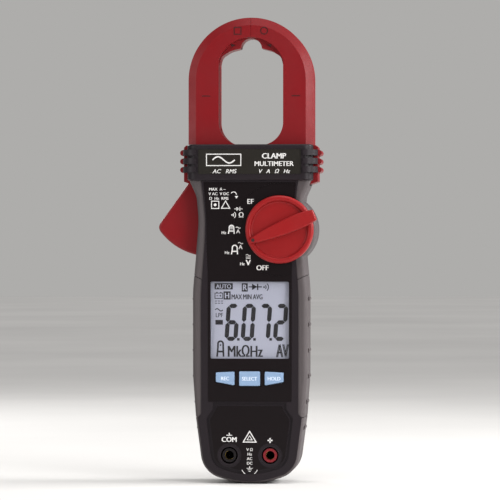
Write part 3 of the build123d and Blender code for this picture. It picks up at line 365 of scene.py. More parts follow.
@dataclass(frozen=True)
class ClearAcrylic:
    """Cast acrylic window: it lets light through and keeps a faint, slightly uneven reflection.

    Only its outer faces reflect, so that what lies behind it stays easy to read.
    """

    name: str
    tint: str
    roughness: float = 0.08
    ior: float = 1.3
    haze_mm: float = 9.0

    def build(self) -> bpy.types.Material:
        """Make the material.

        Returns:
            The finished material.
        """
        material, tree = fresh_material(self.name)
        where = add_node(tree, "ShaderNodeTexCoord").outputs["Object"]
        haze = noise(tree, self.haze_mm, 3.0, where)
        gloss = add_node(
            tree,
            "ShaderNodeMapRange",
            {"To Min": self.roughness - 0.03, "To Max": self.roughness + 0.05},
            {"Value": haze},
        )
        clear = add_node(tree, "ShaderNodeBsdfTransparent", {"Color": linear(self.tint)})
        shine = add_node(
            tree, "ShaderNodeBsdfGlossy", None, {"Roughness": gloss.outputs["Result"]}
        )
        edge = add_node(tree, "ShaderNodeFresnel", {"IOR": self.ior})
        side = add_node(tree, "ShaderNodeNewGeometry")
        outer = add_node(
            tree,
            "ShaderNodeMapRange",
            {"To Min": 1.0, "To Max": 0.0},
            {"Value": side.outputs["Backfacing"]},
        )
        share = add_node(
            tree,
            "ShaderNodeMath",
            {"operation": "MULTIPLY"},
            {0: edge.outputs["Fac"], 1: outer.outputs["Result"]},
        )
        both = add_node(
            tree,
            "ShaderNodeMixShader",
            None,
            {0: share.outputs["Value"], 1: clear.outputs["BSDF"], 2: shine.outputs["BSDF"]},
        )
        show(tree, both.outputs["Shader"])
        return material


@dataclass(frozen=True)
class Ink:
    """Pad-printed or screen-printed ink: a thin, slightly uneven film."""

    name: str
    colour: str
    tone: str
    roughness: float = 0.55
    grain_mm: float = 0.6

    def build(self) -> bpy.types.Material:
        """Make the material.

        Returns:
            The finished material.
        """
        material, tree = fresh_material(self.name)
        where = add_node(tree, "ShaderNodeTexCoord").outputs["Object"]
        film = noise(tree, self.grain_mm, 2.0, where)
        tone = add_node(
            tree,
            "ShaderNodeMix",
            {"data_type": "RGBA", 6: linear(self.colour), 7: linear(self.tone)},
            {0: film},
        )
        shader = add_node(
            tree,
            "ShaderNodeBsdfPrincipled",
            {"Roughness": self.roughness, "IOR": 1.5},
            {"Base Color": tone.outputs[2]},
        )
        show(tree, shader.outputs["BSDF"])
        return material


class Finish(Enum):
    """Every finish on the meter, named for what the real one is."""

    # ABS, satin spark-eroded tool: broad soft highlights that pick out the bevels
    RED_ABS = Moulded("red_abs_satin", "7E141A", "751217", 0.4, grain_mm=0.5, specular=0.22)
    # ABS a little glossier than the jaws; its red is lifted above theirs towards the knob's bright
    # patches, a painted highlight
    KNOB_ABS = Moulded("red_abs_knob", "94181A", "8A1517", 0.36, grain_mm=0.45, specular=0.25)
    # polycarbonate blend, fine matt texture: dark, slightly purple grey
    DARK_PC = Moulded("dark_pc_abs_matt", "241E22", "1F191D", 0.42, grain_mm=0.4, specular=0.18)
    # thermoplastic elastomer, soft matt: no clear highlight, fine speckle
    TAUPE_TPE = Moulded("taupe_tpe_overmould", "524B4C", "4A4445", 0.62, ior=1.5, grain_mm=0.45,
                        grain_depth_mm=0.02, gloss_swing=0.05, specular=0.3)
    # matt printed polyester film: nearly black
    PANEL_FILM = Moulded("matt_polyester_film", "140D0F", "110B0D", 0.34, grain_mm=0.8,
                         grain_depth_mm=0.004, drift_mm=30.0, gloss_swing=0.04, specular=0.15)
    PLATE_FILM = Moulded("matt_label_film", "26231F", "211E1A", 0.4, grain_mm=0.8,
                         grain_depth_mm=0.004, specular=0.18)
    # silk-printed polycarbonate key caps
    BLUE_PC = Moulded("pale_blue_pc_keys", "8CA6C6", "859FBF", 0.4, grain_mm=0.6,
                      grain_depth_mm=0.006, specular=0.3)
    BLACK_PA = Moulded("black_nylon_insulator", "120C0F", "0E090B", 0.36, grain_mm=0.5,
                       specular=0.25)
    RED_PA = Moulded("red_nylon_insulator", "7E1A22", "74161E", 0.34, grain_mm=0.5, specular=0.3)
    NATURAL_PA = Moulded("natural_nylon", "D8D2C2", "CCC5B3", 0.45, grain_mm=0.6)
    SILICONE = Moulded("silicone_rubber", "56575A", "4C4D50", 0.7, grain_mm=0.6)
    SOLDER_MASK = Moulded("solder_mask_on_glass_epoxy", "14532E", "104626", 0.35, grain_mm=1.2)
    EPOXY = Moulded("black_epoxy_moulding", "19191B", "141416", 0.5, grain_mm=0.4)
    VARNISH = Moulded("blue_varnished_disc", "2A4C8C", "244280", 0.3, grain_mm=0.8)
    JACKET = Moulded("printed_cell_jacket", "3A4048", "30353C", 0.3, grain_mm=1.0,
                     grain_depth_mm=0.002)
    LEAD_PVC = Moulded("pvc_insulation", "D6D4CC", "CAC8BF", 0.5, grain_mm=0.5)
    POINTER_PAINT = Moulded("dark_pointer_paint", "1E100D", "1A0D0B", 0.5, grain_mm=0.3)
    # reflective twisted-nematic panel: grey with the slightest mottle of its diffuser
    LCD_GREY = Moulded("lcd_diffuser", "A8AAB9", "A0A2B1", 0.55, grain_mm=0.3,
                       grain_depth_mm=0.003, drift_mm=22.0, gloss_swing=0.03, specular=0.2)
    LAMINATED_STEEL = Laminated("silicon_steel_laminations", "A7A39B", "2E2C2A")
    COPPER = Metal("enamelled_copper_wire", "B5652B", 0.35, 0.2, 0.01, (1.0, 1.0, 0.1))
    ZINC_STEEL = Metal("zinc_plated_steel", "B8B9BA", 0.3)
    BRASS = Metal("nickel_flashed_brass", "C8A75E", 0.25)
    ACRYLIC = ClearAcrylic("clear_acrylic", "FFFFFF")
    WHITE_INK = Ink("white_screen_ink", "E6E4E2", "DAD8D6")
    PALE_INK = Ink("pale_key_ink", "E2EDFB", "DAE6F6")
    SEGMENT = Ink("liquid_crystal_segment", "0C0A10", "100E14", 0.5)
    LCD_WINDOW = Ink("liquid_crystal_clear_area", "A8AAB9", "A0A2B1", 0.5)
    # dark red laid in the jaws' sunk marks and arrows: painted shade of their recesses
    RECESS_SHADE_INK = Ink("painted_recess_shade", "3A0C0E", "320A0C", 0.6)

    def material(self) -> bpy.types.Material:
        """The finish's material, made once.

        Returns:
            The Blender material.
        """
        found = bpy.data.materials.get(self.value.name)
        return found if found else self.value.build()


# ------------------------------------------------------------------ flat artwork
class Artwork:
    """Flat shapes in the X-Z plane, built up into one thin printed or applied layer."""

    def __init__(self, name: str, face_y: float, proud: float = 0.03) -> None:
        """Start an empty layer.

        Args:
            name: Name of the piece.
            face_y: Depth of the surface that it lies on, in mm.
            proud: How far it stands off that surface, in mm.
        """
        self.name = name
        self.face_y = face_y
        self.proud = proud
        self.mesh = bmesh.new()

    def polygon(self, points: Sequence[Point]) -> None:
        """Add one closed outline as a thin slab.

        Args:
            points: Corners (x, z) in mm, either way round.
        """
        front_y = (self.face_y - self.proud) * MM
        rear_y = (self.face_y - PRINT_GAP) * MM
        area = sum(a[0] * b[1] - b[0] * a[1] for a, b in zip(points, [*points[1:], points[0]]))
        ring = list(points) if area > 0 else list(reversed(points))
        front = [self.mesh.verts.new((x * MM, front_y, z * MM)) for x, z in ring]
        rear = [self.mesh.verts.new((x * MM, rear_y, z * MM)) for x, z in ring]
        self.mesh.faces.new(front)
        self.mesh.faces.new(list(reversed(rear)))
        for i in range(len(ring)):
            j = (i + 1) % len(ring)
            self.mesh.faces.new((front[j], front[i], rear[i], rear[j]))

    def skin(self, faces: Sequence[Sequence[Point]]) -> None:
        """Add a thin slab over neighbouring flat faces, with their openings.

        Args:
            faces: Corners (x, z) of each face, in mm.
        """
        sheet = bmesh.new()
        rear_y = (self.face_y - PRINT_GAP) * MM
        known: dict[Point, bmesh.types.BMVert] = {}
        for face in faces:
            for x, z in face:
                if (x, z) not in known:
                    known[(x, z)] = sheet.verts.new((x * MM, rear_y, z * MM))
            sheet.faces.new([known[corner] for corner in face])
        rim = bmesh.ops.extrude_face_region(sheet, geom=sheet.faces[:])
        for vert in rim["geom"]:
            if isinstance(vert, bmesh.types.BMVert):
                vert.co.y = (self.face_y - self.proud) * MM
        bmesh.ops.recalc_face_normals(sheet, faces=sheet.faces)
        flat = bpy.data.meshes.new("skin")
        sheet.to_mesh(flat)
        self.mesh.from_mesh(flat)
        sheet.free()
        bpy.data.meshes.remove(flat)

    def stroke(self, points: Sequence[Point], width: float, closed: bool = False) -> None:
        """Add a line of constant width with mitred corners.

        Args:
            points: Points along the line, in mm.
            width: Width in mm.
            closed: Whether the line returns to its start.
        """
        least = 0.35            # keeps the mitres of sharp corners short
        count = len(points)
        left: list[Point] = []
        right: list[Point] = []
        for i, (x, z) in enumerate(points):
            before = points[i - 1] if (i > 0 or closed) else None
            after = points[(i + 1) % count] if (i < count - 1 or closed) else None
            normals = []
            for a, b in ((before, (x, z)), ((x, z), after)):
                if a is not None and b is not None:
                    run = Vector((b[0] - a[0], b[1] - a[1])).normalized()
                    normals.append(Vector((-run.y, run.x)))
            mitre = sum(normals, Vector((0.0, 0.0))).normalized()
            reach = width / 2 / max(least, mitre.dot(normals[0]))
            left.append((x + mitre.x * reach, z + mitre.y * reach))
            right.append((x - mitre.x * reach, z - mitre.y * reach))
        spans = count if closed else count - 1
        for i in range(spans):
            j = (i + 1) % count
            self.polygon([left[i], left[j], right[j], right[i]])

    def ring(self, x: float, z: float, radius: float, width: float, steps: int = 36) -> None:
        """Add a circle's outline."""
        self.stroke(arc(x, z, radius, 0, 360 - 360 / steps, steps - 1), width, closed=True)

    def dot(self, x: float, z: float, radius: float, steps: int = 28) -> None:
        """Add a filled circle."""
        self.polygon(arc(x, z, radius, 0, 360 - 360 / steps, steps - 1))

    def frame(self, x0: float, x1: float, z0: float, z1: float, width: float) -> None:
        """Add a rectangle's outline."""
        self.stroke([(x0, z0), (x1, z0), (x1, z1), (x0, z1)], width, closed=True)

    def block(self, x0: float, x1: float, z0: float, z1: float) -> None:
        """Add a filled rectangle."""
        self.polygon([(x0, z0), (x1, z0), (x1, z1), (x0, z1)])

    def text(
        self,
        words: str,
        x: float,
        z: float,
        height: float,
        bold: float = 0.0,
        slant: float = 0.0,
        stretch: float = 1.0,
    ) -> None:
        """Add lettering centred on a point.

        Args:
            words: Generic lettering, such as a unit.
            x: Centre across, in mm.
            z: Centre of the capitals' height, in mm.
            height: Height of the capitals, in mm.
            bold: Half the extra stroke width, as a share of the height.
            slant: Shear, 0 upright.
            stretch: Width as a share of the font's own.
        """
        capital = 0.7           # height of the font's capitals, as a share of its size
        layer_step = 0.004      # mm between the two copies that make bold lettering
        curve = bpy.data.curves.new("lettering", "FONT")
        curve.body = words
        curve.align_x = "CENTER"
        curve.size = height / capital
        curve.shear = slant
        curve.resolution_u = 3
        curve.fill_mode = "FRONT"
        holder = bpy.data.objects.new("lettering", curve)
        bpy.context.collection.objects.link(holder)
        bpy.context.view_layer.update()
        evaluated = holder.evaluated_get(bpy.context.evaluated_depsgraph_get())
        flat = bpy.data.meshes.new_from_object(evaluated)
        bpy.data.objects.remove(holder)
        piece = bmesh.new()
        piece.from_mesh(flat)
        bmesh.ops.remove_doubles(piece, verts=piece.verts, dist=1e-6)
        bmesh.ops.dissolve_limit(piece, angle_limit=0.02, verts=piece.verts, edges=piece.edges)
        rim = bmesh.ops.extrude_face_region(piece, geom=piece.faces[:])
        for vert in rim["geom"]:
            if isinstance(vert, bmesh.types.BMVert):
                vert.co.z = self.proud - PRINT_GAP
        bmesh.ops.recalc_face_normals(piece, faces=piece.faces)
        shape = [vert.co.copy() for vert in piece.verts]
        for layer, side in enumerate((-1, 1) if bold else (0,)):
            for vert, co in zip(piece.verts, shape):
                px = x + side * bold * height + co.x * stretch
                py = self.face_y - PRINT_GAP - layer_step * layer - co.z
                vert.co = Vector((px, py, z + co.y - height / 2)) * MM
            piece.to_mesh(flat)
            self.mesh.from_mesh(flat)
        piece.free()
        bpy.data.meshes.remove(flat)
        bpy.data.curves.remove(curve)

    def finish(self, body: str, finish: Finish, slot: str) -> bpy.types.Object:
        """Turn the layer into one piece.

        Args:
            body: CAD body that it moves with.
            finish: What it is printed in.
            slot: Record's material slot; not used.

        Returns:
            The new object.
        """
        data = bpy.data.meshes.new(self.name)
        self.mesh.to_mesh(data)
        self.mesh.free()
        piece = bpy.data.objects.new(self.name, data)
        bpy.context.collection.objects.link(piece)
        data.materials.append(finish.material())
        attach(piece, body)
        LOG.info("%s: %d faces on %s", self.name, len(data.polygons), body)
        return piece


def arc(x: float, z: float, radius: float, start: float, end: float, steps: int) -> list[Point]:
    """Points along an arc.

    Args:
        x: Centre across, in mm.
        z: Centre height, in mm.
        radius: Radius in mm.
        start: First angle, in degrees from +X towards +Z.
        end: Last angle.
        steps: Number of spans.

    Returns:
        The points, ends included.
    """
    turn = [math.radians(start + (end - start) * i / steps) for i in range(steps + 1)]
    return [(x + radius * math.cos(a), z + radius * math.sin(a)) for a in turn]


def wave(x: float, z: float, length: float, height: float, steps: int = 12) -> list[Point]:
    """Points of one sine wave, the sign for alternating current.

    Args:
        x: Centre across, in mm.
        z: Centre height, in mm.
        length: Length in mm.
        height: Half height in mm.
        steps: Number of spans.

    Returns:
        The points, ends included.
    """
    share = [i / steps for i in range(steps + 1)]
    return [(x + (s - 0.5) * length, z + height * math.sin(2 * math.pi * s)) for s in share]


def clamp_sign(
    art: Artwork, x: float, z: float, height: float, line: float, narrow: float = 1.0
) -> None:
    """Draw the usual sign for current through the jaws: a letter A with a round head.

    Args:
        art: Layer that takes it.
        x: Centre across, in mm.
        z: Centre height, in mm.
        height: Height in mm.
        line: Width of its lines, in mm.
        narrow: Width as a share of the usual one.
    """
    half = 0.27 * height * narrow
    shoulder = z + 0.5 * height - half
    foot = z - 0.5 * height
    art.stroke([(x - 1.35 * half, foot), (x - half, shoulder - 0.2 * height)], line)
    art.stroke([(x - half, shoulder - 0.22 * height), *arc(x, shoulder, half, 180, 0, 12),
                (x + half, shoulder - 0.22 * height)], line)
    art.stroke([(x + half, shoulder - 0.2 * height), (x + 1.15 * half, foot)], line)
    art.stroke([(x - half, z - 0.17 * height), (x + half, z - 0.17 * height)], line)


def diode_sign(art: Artwork, x: float, z: float, length: float, line: float) -> None:
    """Draw a diode: a line through a filled triangle and a bar.

    Args:
        art: Layer that takes it.
        x: Centre across, in mm.
        z: Centre height, in mm.
        length: Length of its line, in mm.
        line: Width of its line, in mm.
    """
    half = 0.24 * length
    art.block(x - length / 2, x + length / 2, z - line / 2, z + line / 2)
    art.polygon([(x - half, z + half), (x - half, z - half), (x + 0.6 * half, z)])
    art.block(x + 0.55 * half, x + 0.55 * half + 1.2 * line, z - half, z + half)


def sound_sign(art: Artwork, x: float, z: float, size: float, line: float) -> None:
    """Draw a sounder: a dot and two arcs that spread from it.

    Args:
        art: Layer that takes it.
        x: Centre across, in mm.
        z: Centre height, in mm.
        size: Length over all, in mm.
        line: Width of its arcs, in mm.
    """
    art.dot(x - 0.5 * size, z, 0.16 * size, 12)
    for radius in (0.42 * size, 0.85 * size):
        art.stroke(arc(x - 0.55 * size, z, radius, -48, 48, 8), line)


# ------------------------------------------------------------------ the frame's nodes
def touching(outlines: Sequence[Sequence[Place]]) -> list[list[int]]:
    """Group outlines that share corners.

    Args:
        outlines: Corners of each outline.

    Returns:
        The indices of each group's outlines.
    """
    beside: dict[Place, list[int]] = {}
    for index, outline in enumerate(outlines):
        for corner in outline:
            beside.setdefault(corner, []).append(index)
    left = set(range(len(outlines)))
    groups = []
    while left:
        waiting = [left.pop()]
        group = []
        while waiting:
            index = waiting.pop()
            group.append(index)
            for corner in outlines[index]:
                near = left.intersection(beside[corner])
                left -= near
                waiting.extend(near)
        groups.append(group)
    return groups


@dataclass
class Frame:
    """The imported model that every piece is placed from."""

    loaded: dict[str, Any]

    def dress(self, finish: Finish, *names: str) -> None:
        """Give CAD nodes a finish.

        Args:
            finish: The finish.
            names: The nodes.
        """
        for name in names:
            node = self.loaded["nodes"][name]
            node.data.materials.clear()
            node.data.materials.append(finish.material())
            for face in node.data.polygons:
                face.material_index = 0
            LOG.info("%s: %s", name, finish.value.name)

    @staticmethod
    def box(name: str) -> tuple[Vector, Vector]:
        """Lowest and highest corner of a node, in mm."""
        low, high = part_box(name)
        return Vector(low) / MM, Vector(high) / MM

    def island(self, name: str, below: float) -> tuple[float, list[list[Point]]]:
        """Find the largest flat island on a node's front that ends below a level.

        Args:
            name: The node.
            below: Level that the whole island stays under, in mm.

        Returns:
            The island's y in mm, and the corners (x, z) of each of its faces.
        """
        facing = -0.999         # y of a front face's normal, at most
        node = self.loaded["nodes"][name]
        points = [node.matrix_world @ vert.co / MM for vert in node.data.vertices]
        at = [(round(p.x, 3), round(p.z, 3), round(p.y, 2)) for p in points]
        fronts = [
            face for face in node.data.polygons
            if face.normal.y < facing and (node.matrix_world @ face.center).z / MM < below
        ]
        outlines = [[at[corner] for corner in face.vertices] for face in fronts]
        largest, level, faces = 0.0, 0.0, []
        for island in touching(outlines):
            area = sum(fronts[index].area for index in island)
            top = max(place[1] for index in island for place in outlines[index])
            if area > largest and top < below:
                largest, level = area, outlines[island[0]][0][2]
                faces = [[place[:2] for place in outlines[index]] for index in island]
        return level, faces

    def joint_place(self, name: str) -> Vector:
        """Point on a joint's axis, in mm."""
        joint = next(j for j in self.loaded["joints"] if j["name"] == name)
        return Vector(joint["pos_m"]) / MM


# ------------------------------------------------------------------ sub-assemblies
@dataclass
class Jaws:
    """Red moulded jaws with their cores, winding, pivot and spring."""

    frame: Frame
    shells: tuple[str, ...] = (
        "moving_jaw_front_shell",
        "moving_jaw_rear_shell",
        "fixed_jaw_front_shell",
        "fixed_jaw_rear_shell",
    )
    half_thickness: float = 8.0
    web_half: float = 5.2
    mark_depth: float = 0.3
    tick_x: float = 21.0
    tick_z: float = -22.0
    tick_length: float = 3.9
    sign_x: float = 6.2
    sign_z: float = 8.4
    sign_size: float = 3.7
    mark_line: float = 0.44
    mark_inset: float = 0.25
    arrow: tuple[Point, ...] = ((7.5, 2.02), (9.55, 2.35), (9.1, 0.9))

    def build(self) -> None:
        """Dress the jaws and paint shade into their marks."""
        self.frame.dress(Finish.RED_ABS, *self.shells)
        self.frame.dress(Finish.LAMINATED_STEEL, "moving_jaw_core", "fixed_jaw_core")
        self.frame.dress(Finish.NATURAL_PA, "coil_bobbin")
        self.frame.dress(Finish.COPPER, "coil_winding")
        self.frame.dress(Finish.LEAD_PVC, "coil_leads")
        self.frame.dress(Finish.ZINC_STEEL, "jaw_pivot_pin", "jaw_return_spring")
        self.shade_marks()

    def shade_marks(self) -> None:
        """Lay dark red in the marks sunk in the jaws' faces: painted shade of their recesses."""
        face = -self.half_thickness + self.mark_depth
        web_face = -self.web_half + self.mark_depth
        half_tick, half_line = self.tick_length / 2, self.mark_line / 2
        half_sign = self.sign_size / 2 - self.mark_inset
        for side, body in ((-1, "moving_jaw"), (1, "casing")):
            art = Artwork(f"{body}_marks", face)
            x, z = side * self.tick_x, self.tick_z
            art.block(x - half_tick, x + half_tick, z - half_line, z + half_line)
            x, z = side * self.sign_x, self.sign_z
            if side < 0:
                square = (x - half_sign, x + half_sign, z - half_sign, z + half_sign)
                art.frame(*square, self.mark_line)
            else:
                art.ring(x, z, half_sign, self.mark_line)
            art.finish(body, Finish.RECESS_SHADE_INK, "jaw_plastic")
            pointer = Artwork(f"{body}_arrow", web_face)
            pointer.polygon([(side * ax, az) for ax, az in self.arrow])
            pointer.finish(body, Finish.RECESS_SHADE_INK, "jaw_plastic")


@dataclass
class Casing:
    """Dark casing halves, soft grips and what closes them."""

    frame: Frame
    grips: tuple[str, ...] = (
        "left_neck_strip",
        "right_neck_strip",
        "left_side_grip",
        "right_side_grip",
        "foot_rim",
    )

    def build(self) -> None:
        """Dress the casing."""
        self.frame.dress(Finish.DARK_PC, "front_shell", "rear_shell", "battery_cover")
        self.frame.dress(Finish.TAUPE_TPE, *self.grips)
        self.frame.dress(Finish.ZINC_STEEL, "case_screws", "battery_cover_screw")


@dataclass
class DialPanel:
    """Dark front panel with the printing round the dial, and the plate on the collar."""

    frame: Frame
    line: float = 0.36
    letter: float = 2.3
    small: float = 1.35
    left_shift: float = 0.3
    row_pitch: float = 2.15

    def build(self) -> None:
        """Dress the panel and print it."""
        self.frame.dress(Finish.PANEL_FILM, "front_panel")
        self.frame.dress(Finish.PLATE_FILM, "name_plate")
        self.print_dial()
        self.print_corner()
        self.print_plate()

    def print_dial(self) -> None:
        """Print the six switch positions: generic units and signs, each placed from the axis."""
        low, _ = self.frame.box("front_panel")
        centre = self.frame.joint_place("dial_turn")
        cx, cz = centre.x - self.left_shift, centre.z
        art = Artwork("dial_print", low.y)
        art.text("EF", cx - 13.4, cz + 13.1, self.letter, 0.035)
        diode_sign(art, cx - 19.0, cz + 9.6, 3.8, 0.3)
        art.text("Ω", cx - 17.7, cz + 6.8, self.letter, 0.04)
        sound_sign(art, cx - 20.9, cz + 6.8, 2.1, 0.32)
        art.text("Hz", cx - 25.8, cz - 1.4, self.small, 0.03)
        clamp_sign(art, cx - 22.2, cz, 4.0, 0.5)
        for rise in (0.35, 0.95, 1.5):
            art.block(cx - 22.9, cx - 21.5, cz + rise - 0.14, cz + rise + 0.14)
        art.text("A", cx - 19.1, cz - 0.8, 1.8, 0.04)
        art.stroke(wave(cx - 19.1, cz + 0.9, 2.2, 0.32), self.line)
        art.text("Hz", cx - 24.3, cz - 10.7, self.small, 0.03)
        clamp_sign(art, cx - 20.7, cz - 9.4, 4.2, 0.55)
        art.text("A", cx - 18.0, cz - 8.1, 1.9, 0.04)
        art.stroke(wave(cx - 18.0, cz - 6.3, 2.3, 0.32), self.line)
        art.text("Hz", cx - 17.2, cz - 15.9, self.small, 0.03)
        art.text("V", cx - 14.4, cz - 15.3, 2.6, 0.05)
        art.block(cx - 15.5, cx - 13.3, cz - 13.5, cz - 13.2)
        art.block(cx - 15.5, cx - 13.3, cz - 12.9, cz - 12.6)
        art.stroke(wave(cx - 14.4, cz - 11.9, 2.2, 0.3), 0.3)
        art.text("OFF", cx - 7.8, cz - 17.7, self.letter, 0.05)
        art.finish("casing", Finish.WHITE_INK, "panel_film")

    def print_corner(self) -> None:
        """Print generic functions and two outline signs in the panel's upper left corner."""
        low, high = self.frame.box("front_panel")
        art = Artwork("corner_print", low.y)
        left = low.x + 1.8
        top = high.z - 3.2
        rows = (("MAX  A ~", 4.6), ("V AC  V DC", 5.3), ("Ω  Hz  RMS", 5.3))
        for row, (words, middle) in enumerate(rows):
            art.text(words, left + middle, top - row * self.row_pitch, 1.3, 0.035)
        art.stroke(arc(left + 12.2, top - 2.6, 1.3, 150, 0, 8), 0.35)
        art.polygon([(left + 12.7, top - 3.2), (left + 14.3, top - 3.2), (left + 13.5, top - 4.4)])
        z = top - 7.3
        art.frame(left + 1.9, left + 5.3, z - 1.7, z + 1.7, 0.38)
        art.dot(left + 3.6, z, 0.65)
        triangle = [(left + 6.5, z - 1.6), (left + 10.4, z - 1.6), (left + 8.45, z + 1.8)]
        art.stroke(triangle, 0.38, closed=True)
        art.finish("casing", Finish.WHITE_INK, "panel_film")

    def print_plate(self) -> None:
        """Print the plate on the collar with a framed wave and a plain description."""
        low, high = self.frame.box("name_plate")
        art = Artwork("plate_print", low.y)
        left, top = low.x, high.z
        art.frame(left + 3.9, left + 19.9, top - 7.6, top - 2.3, 0.42)
        art.stroke(wave(left + 11.9, top - 4.95, 10.4, 1.5), 0.6)
        art.text("AC   RMS", left + 12.2, top - 10.2, 1.9, 0.02, slant=0.25)
        art.text("CLAMP", left + 35.3, top - 3.1, 2.5, 0.05)
        art.text("MULTIMETER", left + 35.3, top - 6.7, 2.2, 0.04)
        art.text("V   A   Ω   Hz", left + 35.3, top - 10.2, 1.8, 0.035, slant=0.25)
        art.finish("casing", Finish.WHITE_INK, "plate_film")


class Segment(Enum):
    """The strokes of a seven-segment digit, by their usual letters."""

    TOP = "a"
    UPPER_RIGHT = "b"
    LOWER_RIGHT = "c"
    FOOT = "d"
    LOWER_LEFT = "e"
    UPPER_LEFT = "f"
    MIDDLE = "g"


LIT = {
    "0": "abcdef", "1": "bc", "2": "abged", "3": "abgcd", "4": "fgbc", "5": "afgcd",
    "6": "afgedc", "7": "abc", "8": "abcdefg", "9": "abcdfg",
}


@dataclass
class Display:
    """Window, liquid-crystal panel and its segments; places are from the window's upper left."""

    frame: Frame
    reading: str = "6.0.7.2"
    digit_height: float = 15.3
    digit_width: float = 4.15
    digit_pitch: float = 7.55
    segment_width: float = 2.0
    point_size: float = 1.2
    slant: float = 0.07
    first_digit_x: float = 7.2
    digits_top: float = 11.15
    segment_gap: float = 0.1
    segment_proud: float = 0.04
    clear_lift: float = 0.045
    clear_proud: float = 0.02
    point_back: float = 2.05
    point_drop: float = 0.85

    def build(self) -> None:
        """Dress the window and draw what the panel shows."""
        self.frame.dress(Finish.ACRYLIC, "display_lens")
        self.frame.dress(Finish.LCD_GREY, "lcd_glass")
        self.frame.dress(Finish.NATURAL_PA, "lcd_frame")
        self.frame.dress(Finish.SILICONE, "zebra_strips")
        low, high = self.frame.box("display_lens")
        panel, _ = self.frame.box("lcd_glass")
        art = Artwork("display_segments", panel.y, self.segment_proud)
        clear = Artwork("display_inverse", panel.y - self.clear_lift, self.clear_proud)
        self.draw_reading(art, low.x, high.z)
        self.draw_signs(art, clear, low.x, high.z)
        self.draw_column(art, low.x, high.z)
        self.draw_units(art, low.x, high.z)
        art.finish("casing", Finish.SEGMENT, "lcd")
        clear.finish("casing", Finish.LCD_WINDOW, "lcd")

    def stroke(self, art: Artwork, segment: Segment, x: float, z: float) -> None:
        """Draw one segment of a digit.

        Args:
            art: Layer that takes it.
            segment: Which segment.
            x: The digit's lower left corner across, in mm.
            z: The digit's lower left corner in height, in mm.
        """
        w, h = self.digit_width, self.digit_height
        half = h / 2
        ends = {
            Segment.TOP: ((0, h), (w, h)),
            Segment.MIDDLE: ((0, half), (w, half)),
            Segment.FOOT: ((0, 0), (w, 0)),
            Segment.UPPER_LEFT: ((0, half), (0, h)),
            Segment.LOWER_LEFT: ((0, 0), (0, half)),
            Segment.UPPER_RIGHT: ((w, half), (w, h)),
            Segment.LOWER_RIGHT: ((w, 0), (w, half)),
        }
        (ax, az), (bx, bz) = ends[segment]
        along = Vector((bx - ax, bz - az)).normalized()
        across = Vector((-along.y, along.x)) * self.segment_width / 2
        a = Vector((ax, az)) + along * self.segment_gap
        b = Vector((bx, bz)) - along * self.segment_gap
        tip = along * self.segment_width / 2
        shape = [a, a + tip + across, b - tip + across, b, b - tip - across, a + tip - across]
        art.polygon([(x + p.x + self.slant * p.y, z + p.y) for p in shape])

    def draw_reading(self, art: Artwork, left: float, top: float) -> None:
        """Draw the digits and the decimal points.

        Args:
            art: Layer that takes them.
            left: The window's left edge, in mm.
            top: The window's upper edge, in mm.
        """
        x = left + self.first_digit_x
        z = top - self.digits_top - self.digit_height
        for sign in self.reading:
            if sign == ".":
                point_x, point_z = x - self.point_back, z - self.point_drop
                half = self.point_size / 2
                art.block(point_x - half, point_x + half, point_z, point_z + self.point_size)
                continue
            for segment in Segment:
                if segment.value in LIT[sign]:
                    self.stroke(art, segment, x, z)
            x += self.digit_pitch

    def draw_signs(self, art: Artwork, clear: Artwork, left: float, top: float) -> None:
        """Draw the two rows of small signs above the digits.

        Args:
            art: Layer that takes the dark shapes.
            clear: Layer that takes the letters left clear in dark boxes.
            left: The window's left edge, in mm.
            top: The window's upper edge, in mm.
        """
        art.block(left + 1.6, left + 10.1, top - 3.5, top - 0.6)
        clear.text("AUTO", left + 5.85, top - 2.05, 2.0, 0.03, stretch=0.9)
        art.block(left + 14.3, left + 17.1, top - 4.5, top - 0.6)
        clear.text("R", left + 15.7, top - 2.5, 2.7, 0.04, stretch=0.85)
        diode_sign(art, left + 20.6, top - 2.3, 6.2, 0.5)
        sound_sign(art, left + 26.0, top - 2.4, 2.6, 0.42)
        art.frame(left + 1.8, left + 5.4, top - 7.7, top - 5.2, 0.35)
        art.block(left + 2.4, left + 3.0, top - 5.2, top - 4.7)
        art.block(left + 4.2, left + 4.8, top - 5.2, top - 4.7)
        art.block(left + 2.5, left + 3.3, top - 6.6, top - 6.3)
        art.block(left + 3.9, left + 4.7, top - 6.6, top - 6.3)
        art.block(left + 4.15, left + 4.45, top - 6.9, top - 6.0)
        art.block(left + 5.8, left + 9.1, top - 8.2, top - 4.4)
        clear.text("H", left + 7.45, top - 6.3, 2.6, 0.05, stretch=0.85)
        for words, x in (("MAX", 11.9), ("MIN", 16.9), ("AVG", 21.8)):
            art.text(words, left + x, top - 6.9, 2.35, 0.03, stretch=0.68)

    def draw_column(self, art: Artwork, left: float, top: float) -> None:
        """Draw the small signs to the left of the digits and the minus.

        Args:
            art: Layer that takes them.
            left: The window's left edge, in mm.
            top: The window's upper edge, in mm.
        """
        for level in (8.9, 9.9):
            for step in range(3):
                x = left + 1.8 + step * 1.4
                art.block(x, x + 1.0, top - level - 0.16, top - level + 0.16)
        art.stroke(wave(left + 3.7, top - 13.0, 3.6, 0.55), 0.45)
        art.text("LPF", left + 3.8, top - 15.4, 2.0, 0.02, stretch=0.85)
        art.block(left + 2.0, left + 5.5, top - 19.9, top - 17.7)

    def draw_units(self, art: Artwork, left: float, top: float) -> None:
        """Draw the row of units under the digits.

        Args:
            art: Layer that takes them.
            left: The window's left edge, in mm.
            top: The window's upper edge, in mm.
        """
        clamp_sign(art, left + 4.4, top - 31.2, 7.2, 0.8, 0.62)
        art.dot(left + 4.4, top - 29.4, 0.4, 10)
        art.text("MkΩHz", left + 15.8, top - 32.2, 5.2, 0.035, stretch=0.7)
        art.text("AV", left + 33.3, top - 31.9, 6.1, 0.045, stretch=0.5)


